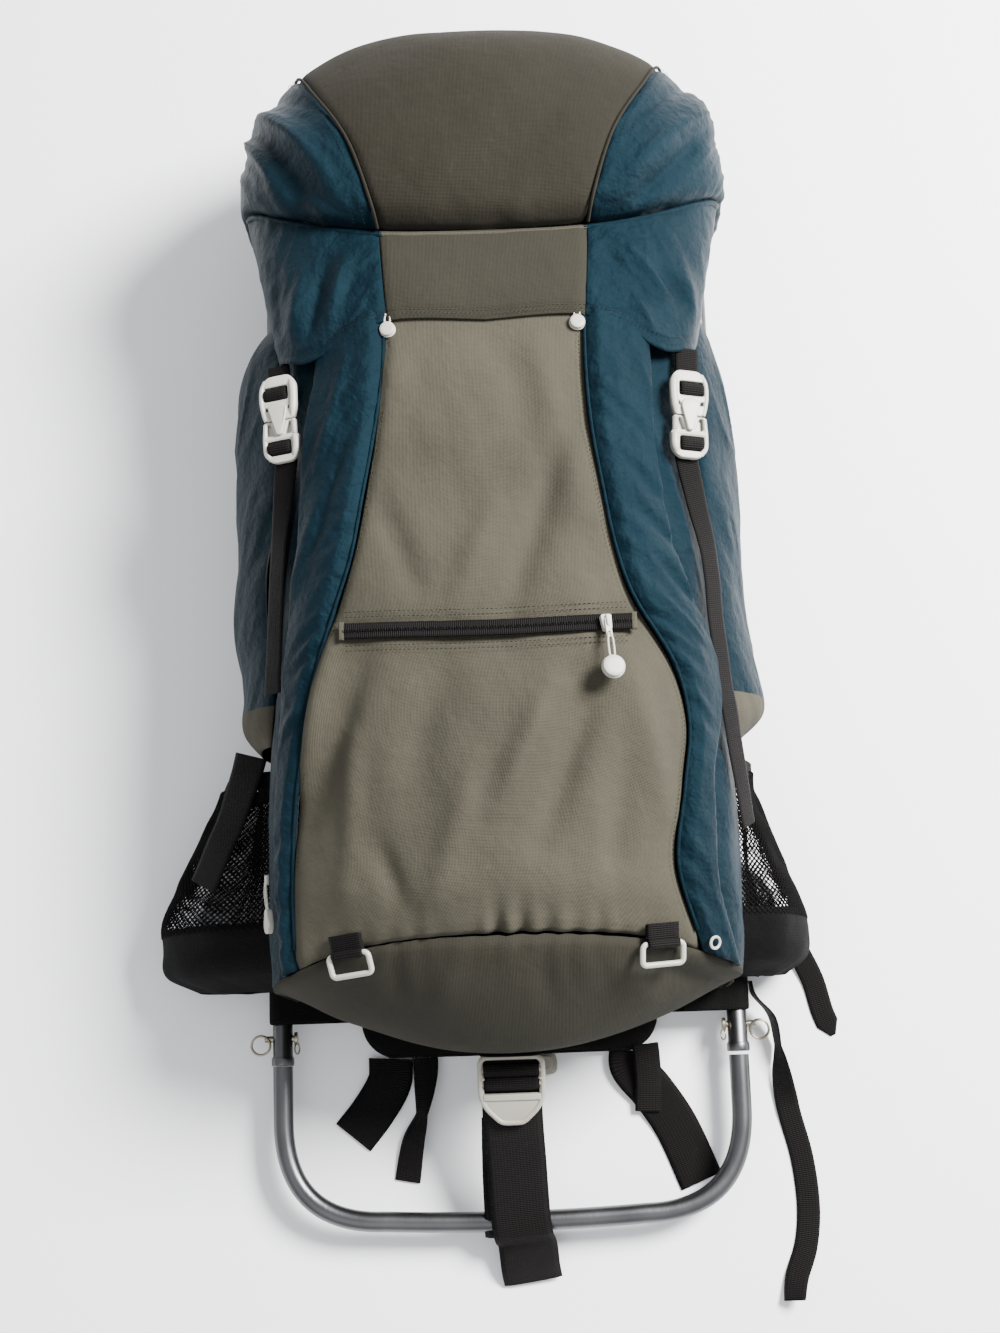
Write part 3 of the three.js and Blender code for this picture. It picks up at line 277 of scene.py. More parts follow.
def backPanel(u, v):
    shape = bagSection(v)
    half = shape["half"] * shape["back"] - clothThickness - 2 * clearance
    foot = bag["foot"] - bagSections["drop"][0] * bag["length"] + clearance
    return stack(mix(half, -half, u), mix(foot, bag["foot"] + bag["length"], v), backZ)


def mirrored(point):
    def other(u, v):
        p = point(1 - u, v)
        return p * np.array([-1.0, 1.0, 1.0])
    return other


# Hood
hoodSections = table("at middle sides front half widest square", [
    [0.00, 0.00, 0.24, 0.90, 0.975, 0.47, 2.6],
    [0.15, 0.09, 0.28, 0.99, 1.000, 0.47, 2.6],
    [0.35, 0.34, 0.39, 1.01, 1.000, 0.47, 2.6],
    [0.55, 0.61, 0.52, 0.965, 0.980, 0.45, 2.6],
    [0.70, 0.81, 0.62, 0.855, 0.945, 0.40, 2.6],
    [0.82, 0.945, 0.70, 0.66, 0.905, 0.32, 2.6],
    [0.92, 1.00, 0.74, 0.44, 0.880, 0.22, 2.6],
    [1.00, 0.97, 0.75, 0.14, 0.860, 0.08, 2.6],
])
hoodSeams = table("at edge", [
    [0.00, 0.41], [0.15, 0.435], [0.35, 0.52], [0.55, 0.66], [0.70, 0.73], [0.82, 0.77], [1.00, 0.785],
])


def hoodSection(at):
    shape = sizedSection(hoodSections, at, backZ, hood["height"], hood["halfWidth"])
    for name in ("middle", "sides"):
        shape[name] = hood["y"] + shape[name] * hood["length"]
    return shape


def hoodY(shape, x):
    return mix(shape["middle"], shape["sides"], np.abs(x / shape["half"]) ** hood["cornering"])


def hoodAtX(x, at):
    shape = hoodSection(at)
    return stack(x, hoodY(shape, x), arch(shape, x))


def hoodAtTurn(turn, at):
    shape = hoodSection(at)
    over = 1 - hood["flank"]
    angle = np.clip(turn / over, 0, 1) * np.pi / 2
    x = shape["half"] * np.sin(angle) ** (2 / shape["square"])
    z = shape["widest"] + (shape["front"] - shape["widest"]) * np.maximum(np.cos(angle), 0) ** (2 / shape["square"])
    down = np.maximum(turn - over, 0) / hood["flank"]
    return stack(x - down * down * hood["rim"], hoodY(shape, x), mix(z, backZ + hood["rim"], down))


def hoodSide(u, v):
    shape = hoodSection(v)
    edge = along(hoodSeams, "edge", v) * hood["halfWidth"]
    start = (1 - hood["flank"]) * np.arcsin((edge / shape["half"]) ** (shape["square"] / 2)) / (np.pi / 2)
    return hoodAtTurn(mix(start, 1, u), v)


def hoodTop(u, v):
    edge = along(hoodSeams, "edge", v) * hood["halfWidth"]
    return hoodAtX(mix(-edge, edge, u), v)


# Apron: from the crease to an arched hem that runs out into the buckle tabs
apron = {"length": 79, "lift": 2.7, "hemHalf": 172, "seam": 0.41 / 0.975}
hemLine = table("at y", [
    [0.00, 0.00], [0.40, 0.05], [0.55, 0.00], [0.67, -0.09], [0.78, -0.26], [0.88, -0.30], [1.00, -0.18],
])


def apronPoint(share, down):
    crease, low, mid = hoodSection(0.0), bagSection(0.74), bagSection(0.70)
    half = mix(crease["half"], apron["hemHalf"], down)
    shape = {
        "half": half,
        "front": mix(crease["front"], low["front"] + apron["lift"], down),
        "widest": mix(crease["widest"], mid["widest"] + bag["depth"] * 0.25, down),
        "square": crease["square"],
    }
    hem = hood["y"] - apron["length"] + along(hemLine, "y", np.abs(share)) * apron["length"]
    swell = np.sin(np.pi * np.clip(down, 0, 1)) * clothThickness * 2
    return stack(share * half, mix(hoodY(crease, share * crease["half"]), hem, down),
                 arch(shape, share * half) + swell)


# Side pockets
pocket = {"foot": -97, "length": 372, "bulge": 46, "front": 0.64, "back": 0.95}
pocketSwell = table("at left right", [
    [0.00, 0.25, 0.22], [0.06, 0.62, 0.80], [0.14, 0.72, 0.86], [0.28, 0.92, 0.72], [0.45, 0.97, 0.76],
    [0.62, 1.00, 0.80], [0.78, 1.00, 0.78], [0.92, 0.85, 0.60], [1.00, 0.35, 0.30],
])


def sidePocket(side):
    def point(u, v):
        u = np.clip(u, 0, 1)
        at = (pocket["foot"] + v * pocket["length"] - bag["foot"]) / bag["length"]
        seat = bagAtTurn(mix(pocket["front"], pocket["back"], u), at)
        front, back = bagAtTurn(0 * u + pocket["front"], at), bagAtTurn(0 * u + pocket["back"], at)
        swell = along(pocketSwell, side, v) * pocket["bulge"] * np.sin(np.pi * u) ** 0.65
        proud = clothThickness - clearance
        return stack(seat[..., 0] + proud + swell, front[..., 1], mix(front[..., 2], back[..., 2], u))
    return point


# Curves: a smooth line through given stops, sampled evenly
def smoothLine(stops, count):
    stops = np.asarray(stops, float)
    gaps = np.sqrt(np.linalg.norm(np.diff(stops, axis=0), axis=1))
    at = np.concatenate([[0], np.cumsum(gaps)])
    place = np.linspace(0, at[-1], count * 6)
    rows = {"at": at}
    for axis, name in enumerate("xyz"):
        rows[name] = stops[:, axis]
    fine = stack(*[along(rows, name, place) for name in "xyz"])
    run = runAlong(fine)
    even = np.linspace(0, run[-1], count)
    return stack(*[np.interp(even, run, fine[:, axis]) for axis in range(3)])


# Mesh pockets
net = {"foot": -287, "length": 178, "reach": 104, "top": 125, "thickness": 1.6}
netSections = table("at left right lowLeft lowRight top", [
    [0.00, 0.72, 0.46, 0.30, 0.55, 0.40], [0.08, 0.98, 0.63, 0.06, 0.10, 0.72], [0.22, 1.00, 0.66, 0.00, 0.00, 0.88],
    [0.36, 0.97, 0.58, 0.00, 0.02, 0.96], [0.55, 0.80, 0.42, 0.00, 0.20, 1.00], [0.75, 0.63, 0.28, 0.04, 0.75, 1.00],
    [1.00, 0.46, 0.16, 0.25, 1.00, 1.00],
])


def netRoute(side, low, v, count):
    y = net["foot"] + v * net["length"]
    at = max((y - bag["foot"]) / bag["length"], 0)
    wall = float(bagAtTurn(0.86, at)[0]) + net["thickness"] + 6 * clearance
    reach = float(along(netSections, side, v)) * net["reach"]
    top = float(along(netSections, "top", v)) * net["top"]
    seat = backZ + net["thickness"] + 1
    floor = float(along(netSections, low, v)) * seat
    outside = tube["halfWidth"] + tube["radius"] + pad["bandThickness"] + net["thickness"] + 3
    return smoothLine([
        (wall, y, top), (wall + reach * 0.62, y, mix(floor, top, 0.86)),
        (max(wall + reach, outside + 3), y, mix(floor, top, 0.42)),
        (max(wall + reach * 0.8, outside + 1), y, floor + 4), (max(wall + reach * 0.5, outside), y, floor + 3),
        (outside, y, mix(floor, seat, 0.75)), (wall + 5, y, seat + 4),
    ], count)


# Materials: shared effects are node groups, and each finish places them with its own values
def nodeGroup(name, inputs, outputs):
    group = bpy.data.node_groups.new(name, "ShaderNodeTree")
    for label, kind, value in inputs:
        socket = group.interface.new_socket(name=label, in_out="INPUT", socket_type="NodeSocket" + kind)
        if kind == "Float":
            socket.default_value = value
    for label, kind in outputs:
        group.interface.new_socket(name=label, in_out="OUTPUT", socket_type="NodeSocket" + kind)
    return group, group.nodes.new("NodeGroupInput"), group.nodes.new("NodeGroupOutput")


def calc(tree, operation, *values):
    node = tree.nodes.new("ShaderNodeMath")
    node.operation = operation
    for i, value in enumerate(values):
        if isinstance(value, (int, float)):
            node.inputs[i].default_value = value
        else:
            tree.links.new(value, node.inputs[i])
    return node.outputs[0]


def ramp(tree, value, low, high):
    node = tree.nodes.new("ShaderNodeMapRange")
    node.inputs["From Min"].default_value, node.inputs["From Max"].default_value = low, high
    tree.links.new(value, node.inputs["Value"])
    return node.outputs["Result"]


def noiseNode(tree, vector, scale, detail=3.0, rough=0.55):
    node = tree.nodes.new("ShaderNodeTexNoise")
    node.inputs["Detail"].default_value, node.inputs["Roughness"].default_value = detail, rough
    tree.links.new(vector, node.inputs["Vector"])
    if isinstance(scale, (int, float)):
        node.inputs["Scale"].default_value = scale
    else:
        tree.links.new(scale, node.inputs["Scale"])
    return node.outputs["Fac"]


def makeWeave():
    group, start, end = nodeGroup("plain_weave", [("Flat", "Vector", None), ("Pitch", "Float", 0.001)],
                                  [("Height", "Float"), ("Slub", "Float")])
    split = group.nodes.new("ShaderNodeSeparateXYZ")
    group.links.new(start.outputs["Flat"], split.inputs[0])
    x = calc(group, "DIVIDE", split.outputs["X"], start.outputs["Pitch"])
    y = calc(group, "DIVIDE", split.outputs["Y"], start.outputs["Pitch"])
    sineX, sineY = (calc(group, "SINE", calc(group, "MULTIPLY", side, math.pi)) for side in (x, y))
    over = calc(group, "MULTIPLY_ADD", calc(group, "MULTIPLY", sineX, sineY), 0.5, 0.5)
    warp = calc(group, "MULTIPLY", calc(group, "ABSOLUTE", sineX), over)
    weft = calc(group, "MULTIPLY", calc(group, "ABSOLUTE", sineY), calc(group, "SUBTRACT", 1.0, over))
    group.links.new(calc(group, "ADD", warp, weft), end.inputs["Height"])
    stretch = group.nodes.new("ShaderNodeCombineXYZ")
    group.links.new(calc(group, "MULTIPLY", x, 0.05), stretch.inputs["X"])
    group.links.new(y, stretch.inputs["Y"])
    other = group.nodes.new("ShaderNodeCombineXYZ")
    group.links.new(x, other.inputs["X"])
    group.links.new(calc(group, "MULTIPLY", y, 0.05), other.inputs["Y"])
    slub = calc(group, "ADD", noiseNode(group, stretch.outputs[0], 0.7, 1.0),
                noiseNode(group, other.outputs[0], 0.7, 1.0))
    group.links.new(calc(group, "MULTIPLY", slub, 0.5), end.inputs["Slub"])
    return group


def makeRibs():
    group, start, end = nodeGroup("webbing_ribs", [("Flat", "Vector", None), ("Pitch", "Float", 0.0011)],
                                  [("Height", "Float")])
    split = group.nodes.new("ShaderNodeSeparateXYZ")
    group.links.new(start.outputs["Flat"], split.inputs[0])
    y = calc(group, "DIVIDE", split.outputs["Y"], start.outputs["Pitch"])
    x = calc(group, "DIVIDE", split.outputs["X"], start.outputs["Pitch"])
    rib = calc(group, "ABSOLUTE", calc(group, "SINE", calc(group, "MULTIPLY", y, math.pi)))
    strand = calc(group, "ABSOLUTE", calc(group, "SINE", calc(group, "MULTIPLY", x, math.pi * 0.6)))
    group.links.new(calc(group, "MULTIPLY", rib, calc(group, "MULTIPLY_ADD", strand, 0.4, 0.6)), end.inputs["Height"])
    return group


def makePatchDustGrain():
    group, start, end = nodeGroup("use_and_dust", [("Place", "Vector", None), ("Scale", "Float", 9.0)],
                                  [("Patches", "Float"), ("Dust", "Float"), ("Grain", "Float")])
    group.links.new(noiseNode(group, start.outputs["Place"], start.outputs["Scale"], 4.0), end.inputs["Patches"])
    fine = noiseNode(group, start.outputs["Place"], calc(group, "MULTIPLY", start.outputs["Scale"], 14.0), 3.0, 0.7)
    group.links.new(ramp(group, fine, 0.60, 0.86), end.inputs["Dust"])
    grain = noiseNode(group, start.outputs["Place"], calc(group, "MULTIPLY", start.outputs["Scale"], 90.0), 2.0, 0.6)
    group.links.new(grain, end.inputs["Grain"])
    return group


weaveGroup, ribsGroup, patchDustGrainGroup = makeWeave(), makeRibs(), makePatchDustGrain()


def startMaterial(name):
    material = bpy.data.materials.new(name)
    material.use_nodes = True
    tree = material.node_tree
    tree.nodes.clear()
    shader = tree.nodes.new("ShaderNodeBsdfPrincipled")
    tree.links.new(shader.outputs[0], tree.nodes.new("ShaderNodeOutputMaterial").inputs["Surface"])
    return material, tree, shader


def useGroup(tree, group, vector, **values):
    node = tree.nodes.new("ShaderNodeGroup")
    node.node_tree = group
    tree.links.new(vector, node.inputs[0])
    for label, value in values.items():
        node.inputs[label].default_value = value
    return node


def blendColour(tree, factor, dark, light):
    node = tree.nodes.new("ShaderNodeMix")
    node.data_type = "RGBA"
    tree.links.new(factor, node.inputs["Factor"])
    for socket, colour in ((node.inputs[6], dark), (node.inputs[7], light)):
        if isinstance(colour, tuple):
            socket.default_value = (*colour, 1)
        else:
            tree.links.new(colour, socket)
    return node.outputs[2]


def addBump(tree, shader, height, distance, strength, under=None):
    bump = tree.nodes.new("ShaderNodeBump")
    bump.inputs["Distance"].default_value = distance
    bump.inputs["Strength"].default_value = strength
    tree.links.new(height, bump.inputs["Height"])
    if under is not None:
        tree.links.new(under, bump.inputs["Normal"])
    tree.links.new(bump.outputs[0], shader.inputs["Normal"])
    return bump.outputs[0]


def startWoven(name):
    material, tree, shader = startMaterial(name)
    flat = tree.nodes.new("ShaderNodeUVMap")
    flat.uv_map = "flat"
    return material, tree, shader, flat.outputs[0], tree.nodes.new("ShaderNodeTexCoord").outputs["Object"]


def clothMaterial(name, look):
    material, tree, shader, flat, place = startWoven(name)
    weave = useGroup(tree, weaveGroup, flat, Pitch=look["pitch"])
    patchDustGrain = useGroup(tree, patchDustGrainGroup, place, Scale=look["patchScale"])
    # Large random patches blend the dark and light tones; in the grey cloth their wide spread is partly painted fold
    # shade
    cloth = blendColour(tree, ramp(tree, patchDustGrain.outputs["Patches"], 0.3, 0.7), look["dark"], look["light"])
    thread = ramp(tree, calc(tree, "ADD", calc(tree, "MULTIPLY", weave.outputs["Height"], look["weaveTint"]),
                             calc(tree, "MULTIPLY", weave.outputs["Slub"], look["slubTint"])), 0.0, 1.0)
    cloth = blendColour(tree, thread, cloth, look["thread"])
    cloth = blendColour(tree, calc(tree, "MULTIPLY", patchDustGrain.outputs["Dust"], look["dust"]), cloth, look["dustColour"])
    tree.links.new(cloth, shader.inputs["Base Color"])
    rough = calc(tree, "MULTIPLY_ADD", patchDustGrain.outputs["Patches"], look["roughSpread"], look["rough"])
    tree.links.new(rough, shader.inputs["Roughness"])
    shader.inputs["Sheen Weight"].default_value = look["sheen"]
    shader.inputs["Sheen Roughness"].default_value = 0.5
    shader.inputs["Sheen Tint"].default_value = (*look["sheenTint"], 1)
    shader.inputs["Specular IOR Level"].default_value = look["specular"]
    shader.inputs["Specular Tint"].default_value = (*look.get("gloss", (1, 1, 1)), 1)
    crumple = noiseNode(tree, place, look["crumpleScale"], 4.0, 0.6)
    low = addBump(tree, shader, crumple, look["crumple"], 1.0)
    fine = calc(tree, "MULTIPLY_ADD", patchDustGrain.outputs["Grain"], 0.5, weave.outputs["Height"])
    addBump(tree, shader, fine, look["relief"], 1.0, low)
    return material


greyLook = {
    "pitch": 0.0011, "patchScale": 6.0, "weaveTint": 0.22, "slubTint": 0.26, "dust": 0.12, "rough": 0.82,
    "roughSpread": 0.12, "sheen": 0.02, "sheenTint": (0.8, 0.76, 0.68), "specular": 0.10, "crumpleScale": 16.0,
    "crumple": 0.004, "relief": 0.0004}
# The grey cloth's dark and light tones lie far apart: random tone, widened to stand in for the shading of its folds,
# so partly painted shade
greyCloth = clothMaterial("grey_cloth", {
    **greyLook, "patchScale": 5.0, "dark": (0.0265, 0.0243, 0.0168), "light": (0.050, 0.0458, 0.0318),
    "weaveTint": 0.25, "slubTint": 0.30, "thread": (0.078, 0.072, 0.052), "dustColour": (0.11, 0.10, 0.08),
    "rough": 0.80, "sheen": 0.03, "sheenTint": (0.8, 0.78, 0.7), "specular": 0.12, "crumpleScale": 22.0,
    "crumple": 0.0035})
hoodCloth = clothMaterial("hood_grey_cloth", {
    **greyLook, "dark": (0.0056, 0.0049, 0.0032), "light": (0.0094, 0.0082, 0.0055),
    "thread": (0.040, 0.036, 0.026), "dustColour": (0.07, 0.064, 0.05)})
# A darker copy of the grey cloth, the same olive: painted shade, worn by the apron's middle and the bottom panel
greyClothPaintedShade = clothMaterial("apron_grey_cloth", {
    **greyLook, "dark": (0.0145, 0.0132, 0.0093), "light": (0.0235, 0.0215, 0.0153),
    "thread": (0.036, 0.033, 0.0245), "dustColour": (0.05, 0.046, 0.036)})
blueCloth = clothMaterial("blue_nylon", {
    "pitch": 0.0005, "patchScale": 8.0, "dark": (0.0014, 0.0050, 0.0084), "light": (0.0032, 0.0100, 0.0152),
    "weaveTint": 0.10, "slubTint": 0.12, "thread": (0.0042, 0.0125, 0.0185), "dust": 0.03,
    "dustColour": (0.03, 0.045, 0.055), "rough": 0.44, "roughSpread": 0.14, "sheen": 0.01,
    "sheenTint": (0.4, 0.65, 0.8), "specular": 0.11, "gloss": (0.26, 0.56, 0.68), "crumpleScale": 24.0,
    "crumple": 0.0085, "relief": 0.00012})
blackCloth = clothMaterial("black_cloth", {
    "pitch": 0.0012, "patchScale": 9.0, "dark": (0.0008, 0.0007, 0.0007), "light": (0.0020, 0.0018, 0.0017),
    "weaveTint": 0.30, "slubTint": 0.12, "thread": (0.009, 0.0085, 0.008), "dust": 0.05,
    "dustColour": (0.05, 0.047, 0.044), "rough": 0.78, "roughSpread": 0.12, "sheen": 0.0,
    "sheenTint": (0.7, 0.7, 0.7), "specular": 0.08, "crumpleScale": 30.0, "crumple": 0.0030, "relief": 0.0004})


def webbingMaterial(name, dark, light):
    material, tree, shader, flat, place = startWoven(name)
    ribs = useGroup(tree, ribsGroup, flat, Pitch=0.0016)
    patchDustGrain = useGroup(tree, patchDustGrainGroup, place, Scale=14.0)
    colour = blendColour(tree, ribs.outputs["Height"], dark, light)
    colour = blendColour(tree, calc(tree, "MULTIPLY", patchDustGrain.outputs["Dust"], 0.12), colour, (0.045, 0.040, 0.037))
    tree.links.new(colour, shader.inputs["Base Color"])
    tree.links.new(calc(tree, "MULTIPLY_ADD", patchDustGrain.outputs["Patches"], 0.2, 0.6), shader.inputs["Roughness"])
    shader.inputs["Specular IOR Level"].default_value = 0.10
    addBump(tree, shader, ribs.outputs["Height"], 0.0006, 1.0)
    return material


strapWebbing = webbingMaterial("black_webbing", (0.0012, 0.0009, 0.0009), (0.0062, 0.0050, 0.0046))
threadBlack = webbingMaterial("dark_thread", (0.004, 0.0037, 0.0034), (0.010, 0.0095, 0.009))
threadBlue = webbingMaterial("blue_thread", (0.0025, 0.009, 0.015), (0.006, 0.020, 0.030))


def hardMaterial(name, look):
    material, tree, shader = startMaterial(name)
    place = tree.nodes.new("ShaderNodeTexCoord").outputs["Object"]
    patchDustGrain = useGroup(tree, patchDustGrainGroup, place, Scale=look["scale"])
    colour = blendColour(tree, ramp(tree, patchDustGrain.outputs["Patches"], 0.35, 0.7), look["dark"], look["light"])
    colour = blendColour(tree, calc(tree, "MULTIPLY", patchDustGrain.outputs["Dust"], look["dust"]), colour, look["dustColour"])
    tree.links.new(colour, shader.inputs["Base Color"])
    tree.links.new(calc(tree, "MULTIPLY_ADD", patchDustGrain.outputs["Patches"], look["roughSpread"], look["rough"]),
                   shader.inputs["Roughness"])
    shader.inputs["Metallic"].default_value = look["metal"]
    shader.inputs["Specular IOR Level"].default_value = 0.5
    if look.get("brushed"):
        mapping = tree.nodes.new("ShaderNodeMapping")
        mapping.inputs["Scale"].default_value = look["brushed"]
        tree.links.new(place, mapping.inputs["Vector"])
        addBump(tree, shader, noiseNode(tree, mapping.outputs[0], 60.0, 3.0, 0.7), 0.0002, 0.6)
    else:
        addBump(tree, shader, patchDustGrain.outputs["Grain"], look["relief"], 0.5)
    return material


tubeMetal = hardMaterial("satin_tube", {
    "scale": 12.0, "dark": (0.085, 0.085, 0.088), "light": (0.125, 0.125, 0.128), "dust": 0.2,
    "dustColour": (0.18, 0.175, 0.165), "rough": 0.26, "roughSpread": 0.18, "metal": 1.0, "brushed": (6.0, 0.4, 6.0)})
pinMetal = hardMaterial("pin_steel", {
    "scale": 40.0, "dark": (0.22, 0.195, 0.14), "light": (0.34, 0.31, 0.235), "dust": 0.3,
    "dustColour": (0.3, 0.22, 0.12), "rough": 0.2, "roughSpread": 0.2, "metal": 1.0, "relief": 0.0001})
plasticLook = {"dust": 0.3, "roughSpread": 0.15, "metal": 0.0, "relief": 0.00012}
palePlastic = hardMaterial("pale_plastic", {
    **plasticLook, "scale": 30.0, "dark": (0.33, 0.318, 0.275), "light": (0.42, 0.405, 0.355),
    "dustColour": (0.20, 0.185, 0.15), "rough": 0.32})
beigePlastic = hardMaterial("beige_plastic", {
    **plasticLook, "scale": 26.0, "dark": (0.27, 0.25, 0.205), "light": (0.33, 0.31, 0.255),
    "dustColour": (0.17, 0.155, 0.125), "rough": 0.36})
print("materials made")


# Every piece is made from its points, its faces and its flat map, all in mm
def newPiece(name, verts, faces, flat, materials, replaces):
    mesh = bpy.data.meshes.new(name)
    mesh.from_pydata(toRow(verts).tolist(), [], faces)
    corner = np.zeros(len(mesh.loops), np.int32)
    mesh.loops.foreach_get("vertex_index", corner)
    place = np.asarray(flat, float).reshape(-1, 2)[corner] / 1000
    mesh.uv_layers.new(name="flat").data.foreach_set("uv", place.ravel().astype(np.float32))
    mesh.polygons.foreach_set("use_smooth", [True] * len(mesh.polygons))
    for material in materials:
        mesh.materials.append(material)
    mesh.update()
    piece = bpy.data.objects.new(name, mesh)
    bpy.context.scene.collection.objects.link(piece)
    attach(piece, "root")
    if replaces:
        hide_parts(*replaces)
    return piece


# Cloth with a wall; extra is a second material and the faces that have it
def addSheet(name, verts, faces, material, replaces, flat, wall, extra=None):
    materials = [material] if extra is None else [material, extra[0]]
    piece = newPiece(name, verts, faces.tolist(), flat, materials, replaces)
    if extra is not None:
        piece.data.polygons.foreach_set("material_index", np.asarray(extra[1], np.int32))
        piece.data.update()
    solid = piece.modifiers.new("wall", "SOLIDIFY")
    solid.thickness, solid.offset = wall / 1000, -1


def gridFaces(rows, columns):
    i, j = np.meshgrid(np.arange(columns), np.arange(rows))
    a = j * (columns + 1) + i
    return np.stack([a, a + 1, a + columns + 2, a + columns + 1], -1).reshape(-1, 4)


def surfaceNormals(points):
    return unit(np.cross(np.gradient(points, axis=1), np.gradient(points, axis=0)))


# A cloth panel: point(u, v) gives the surface, height(spot) how far its folds stand out, all in mm
def addPanel(name, point, columns, rows, material, replaces, height, wall=clothThickness, extra=None):
    u, v = np.meshgrid(np.linspace(0, 1, columns + 1), np.linspace(0, 1, rows + 1))
    p = point(u, v)
    steps = np.linalg.norm(np.diff(p, axis=1), axis=2), np.linalg.norm(np.diff(p, axis=0), axis=2)
    across = np.concatenate([np.zeros((rows + 1, 1)), np.cumsum(steps[0], 1)], 1)
    up = np.concatenate([np.zeros((1, columns + 1)), np.cumsum(steps[1], 0)], 0)
    spot = {"u": u, "v": v, "s": across, "t": up, "width": across[:, -1:], "length": up[-1:, :], "x": p[..., 0],
            "y": p[..., 1]}
    p = p + surfaceNormals(p) * height(spot)[..., None]
    flat = np.stack([across - across[:, -1:] / 2, up], -1)
    marks = None if extra is None else (extra[0], extra[1](spot)[:-1, :-1].ravel())
    addSheet(name, p.reshape(-1, 3), gridFaces(rows, columns), material, replaces, flat, wall, marks)


def edgeDip(distance, depth, reach):
    return -depth * np.exp(-((distance / reach) ** 2))


# Front panel: bag folds, gathers over the bottom seam, and drapes that run down to it
frontLook = {"columns": 116, "rows": 176, "dip": 2.2, "dipReach": 5.0, "gather": 3.2, "gatherReach": 22.0,
             "gatherPitch": 21.0, "drape": 2.6}
frontDrapes = [  # x, y, x, y of the ends, width and rise, mm from the front's middle foot
    [60, 395, 12, 250, 14, -3.0], [-6, 560, 40, 400, 20, -2.6], [-60, 520, -84, 400, 16, 2.2],
    [24, 520, 70, 330, 18, 2.2], [-105, 215, -150, 90, 12, -2.4], [-128, 235, -160, 120, 9, 2.6],
    [40, 185, -4, 95, 11, 3.2], [72, 178, 30, 70, 13, -3.0], [-40, 225, -75, 80, 18, -2.2],
    [-20, 130, -52, 30, 12, 2.0], [104, 205, 128, 90, 14, 2.4], [96, 120, 84, 40, 12, -2.0],
    [-96, 70, -80, 25, 9, -2.0], [-112, 150, -120, 40, 10, 1.8], [0, 330, -30, 255, 12, 1.6],
    [-90, 340, -60, 262, 12, -1.6],
]


def frontHeight(spot):
    x, y = spot["x"], spot["y"] - bag["foot"]
    look = frontLook
    side = np.minimum(spot["s"], spot["width"] - spot["s"])
    h = look["drape"] * folds(x, y, frontDrapes)
    h += 6.0 * (noise(x / 62, y / 120, 11) - 0.5) + 2.0 * (noise((x + y * 0.3) / 24, y / 58, 12) - 0.5)
    h *= np.clip((484 - y) / 40, 0, 1)   # the front lies smooth under the apron
    foot = np.exp(-((spot["t"] / look["gatherReach"]) ** 2))
    middle = np.exp(-(((x + 5) / 95) ** 2))
    wave = np.sin(2 * np.pi * (x + 5 * noise(x / 30, 0 * y, 3)) / look["gatherPitch"] + 0.012 * x)
    h += look["gather"] * foot * (0.25 + 0.75 * middle) * wave * noise(x / 33, 0 * y + 4, 5)
    h += edgeDip(side, look["dip"], look["dipReach"]) + edgeDip(spot["t"], 3.0, 6.0)
    slot = spot["y"] - (-21 - 4 * np.sin(np.pi * np.clip((x + 122) / 231, 0, 1)))   # the zip's bed
    inside = 1 / (1 + np.exp(-(x + 124) / 2.0)) / (1 + np.exp((x - 111) / 2.0))
    h += inside * (-1.6 * np.exp(-((slot / 7.5) ** 2)) + 0.7 * np.exp(-(((np.abs(slot) - 10) / 2.2) ** 2)))
    return h


addPanel("front_panel_cloth", frontPanel, frontLook["columns"], frontLook["rows"], greyCloth,
         ["bag_front"], frontHeight)

# Blue sides: a storm flap stands proud beside the front seam, with a valley beyond it where the strap lies
flapWidth = table("at left right", [
    [0.00, 16, 40], [0.10, 20, 36], [0.20, 26, 26], [0.30, 36, 52], [0.36, 44, 60], [0.42, 52, 56], [0.50, 58, 52],
    [0.60, 64, 54], [0.70, 60, 56], [1.00, 60, 56],
])
sideLook = {"columns": 120, "rows": 176, "flapRise": 6.2, "cliff": 1.5, "valley": -7.5, "valleyReach": 20.0,
            "drape": 1.8, "pucker": 1.7}
sideFolds = {
    "left": [[70, 600, 95, 470, 9, 3.0], [95, 560, 120, 430, 12, -2.5], [60, 470, 78, 330, 7, 1.6],
             [30, 500, 44, 410, 5, 1.6], [22, 430, 34, 340, 5, -1.4], [40, 380, 52, 300, 6, 1.4],
             [110, 400, 130, 260, 12, 3.0]],
    "right": [[66, 600, 92, 480, 10, 3.0], [100, 540, 118, 400, 12, -3.0], [20, 410, 52, 372, 4, -1.6],
              [24, 370, 60, 330, 4, -1.8], [16, 455, 44, 430, 4, -1.3], [30, 330, 66, 280, 5, -2.0],
              [20, 300, 40, 262, 4, 1.4], [60, 300, 90, 190, 9, 2.4], [96, 470, 112, 330, 9, 3.0]],
}


def sideHeight(side):
    def height(spot):
        s, t = spot["s"], spot["t"]
        look = sideLook
        edge = along(flapWidth, side, spot["v"]) + 3 * (noise(t / 60, 0 * t, 21) - 0.5)
        flap = 1 / (1 + np.exp((s - edge) / look["cliff"] * 2))
        beyond = np.exp(-((np.maximum(s - edge, 0) / look["valleyReach"]) ** 2)) * (s > edge - 4)
        h = look["flapRise"] * flap * np.minimum(1, s / 10) + look["valley"] * beyond * (1 - flap)
        fade = np.clip((spot["width"] - s) / 30, 0, 1)
        h += fade * look["drape"] * folds(s, t, sideFolds[side])
        crumple = creases(s, t, 31 if side == "left" else 47, 26, 90, 0.25) - 0.35
        h += fade * 1.5 * crumple + fade * 2.4 * (noise(s / 60, t / 120, 33) - 0.5)
        pull = np.sin(2 * np.pi * (t + 0.8 * s + 14 * noise(t / 40, 0 * t, 8)) / 27)
        h += look["pucker"] * pull * np.exp(-(((s - 12) / 11) ** 2)) * noise(t / 25, 0 * t + 2, 9)
        h += edgeDip(s, 1.6, 3.0)
        return h
    return height


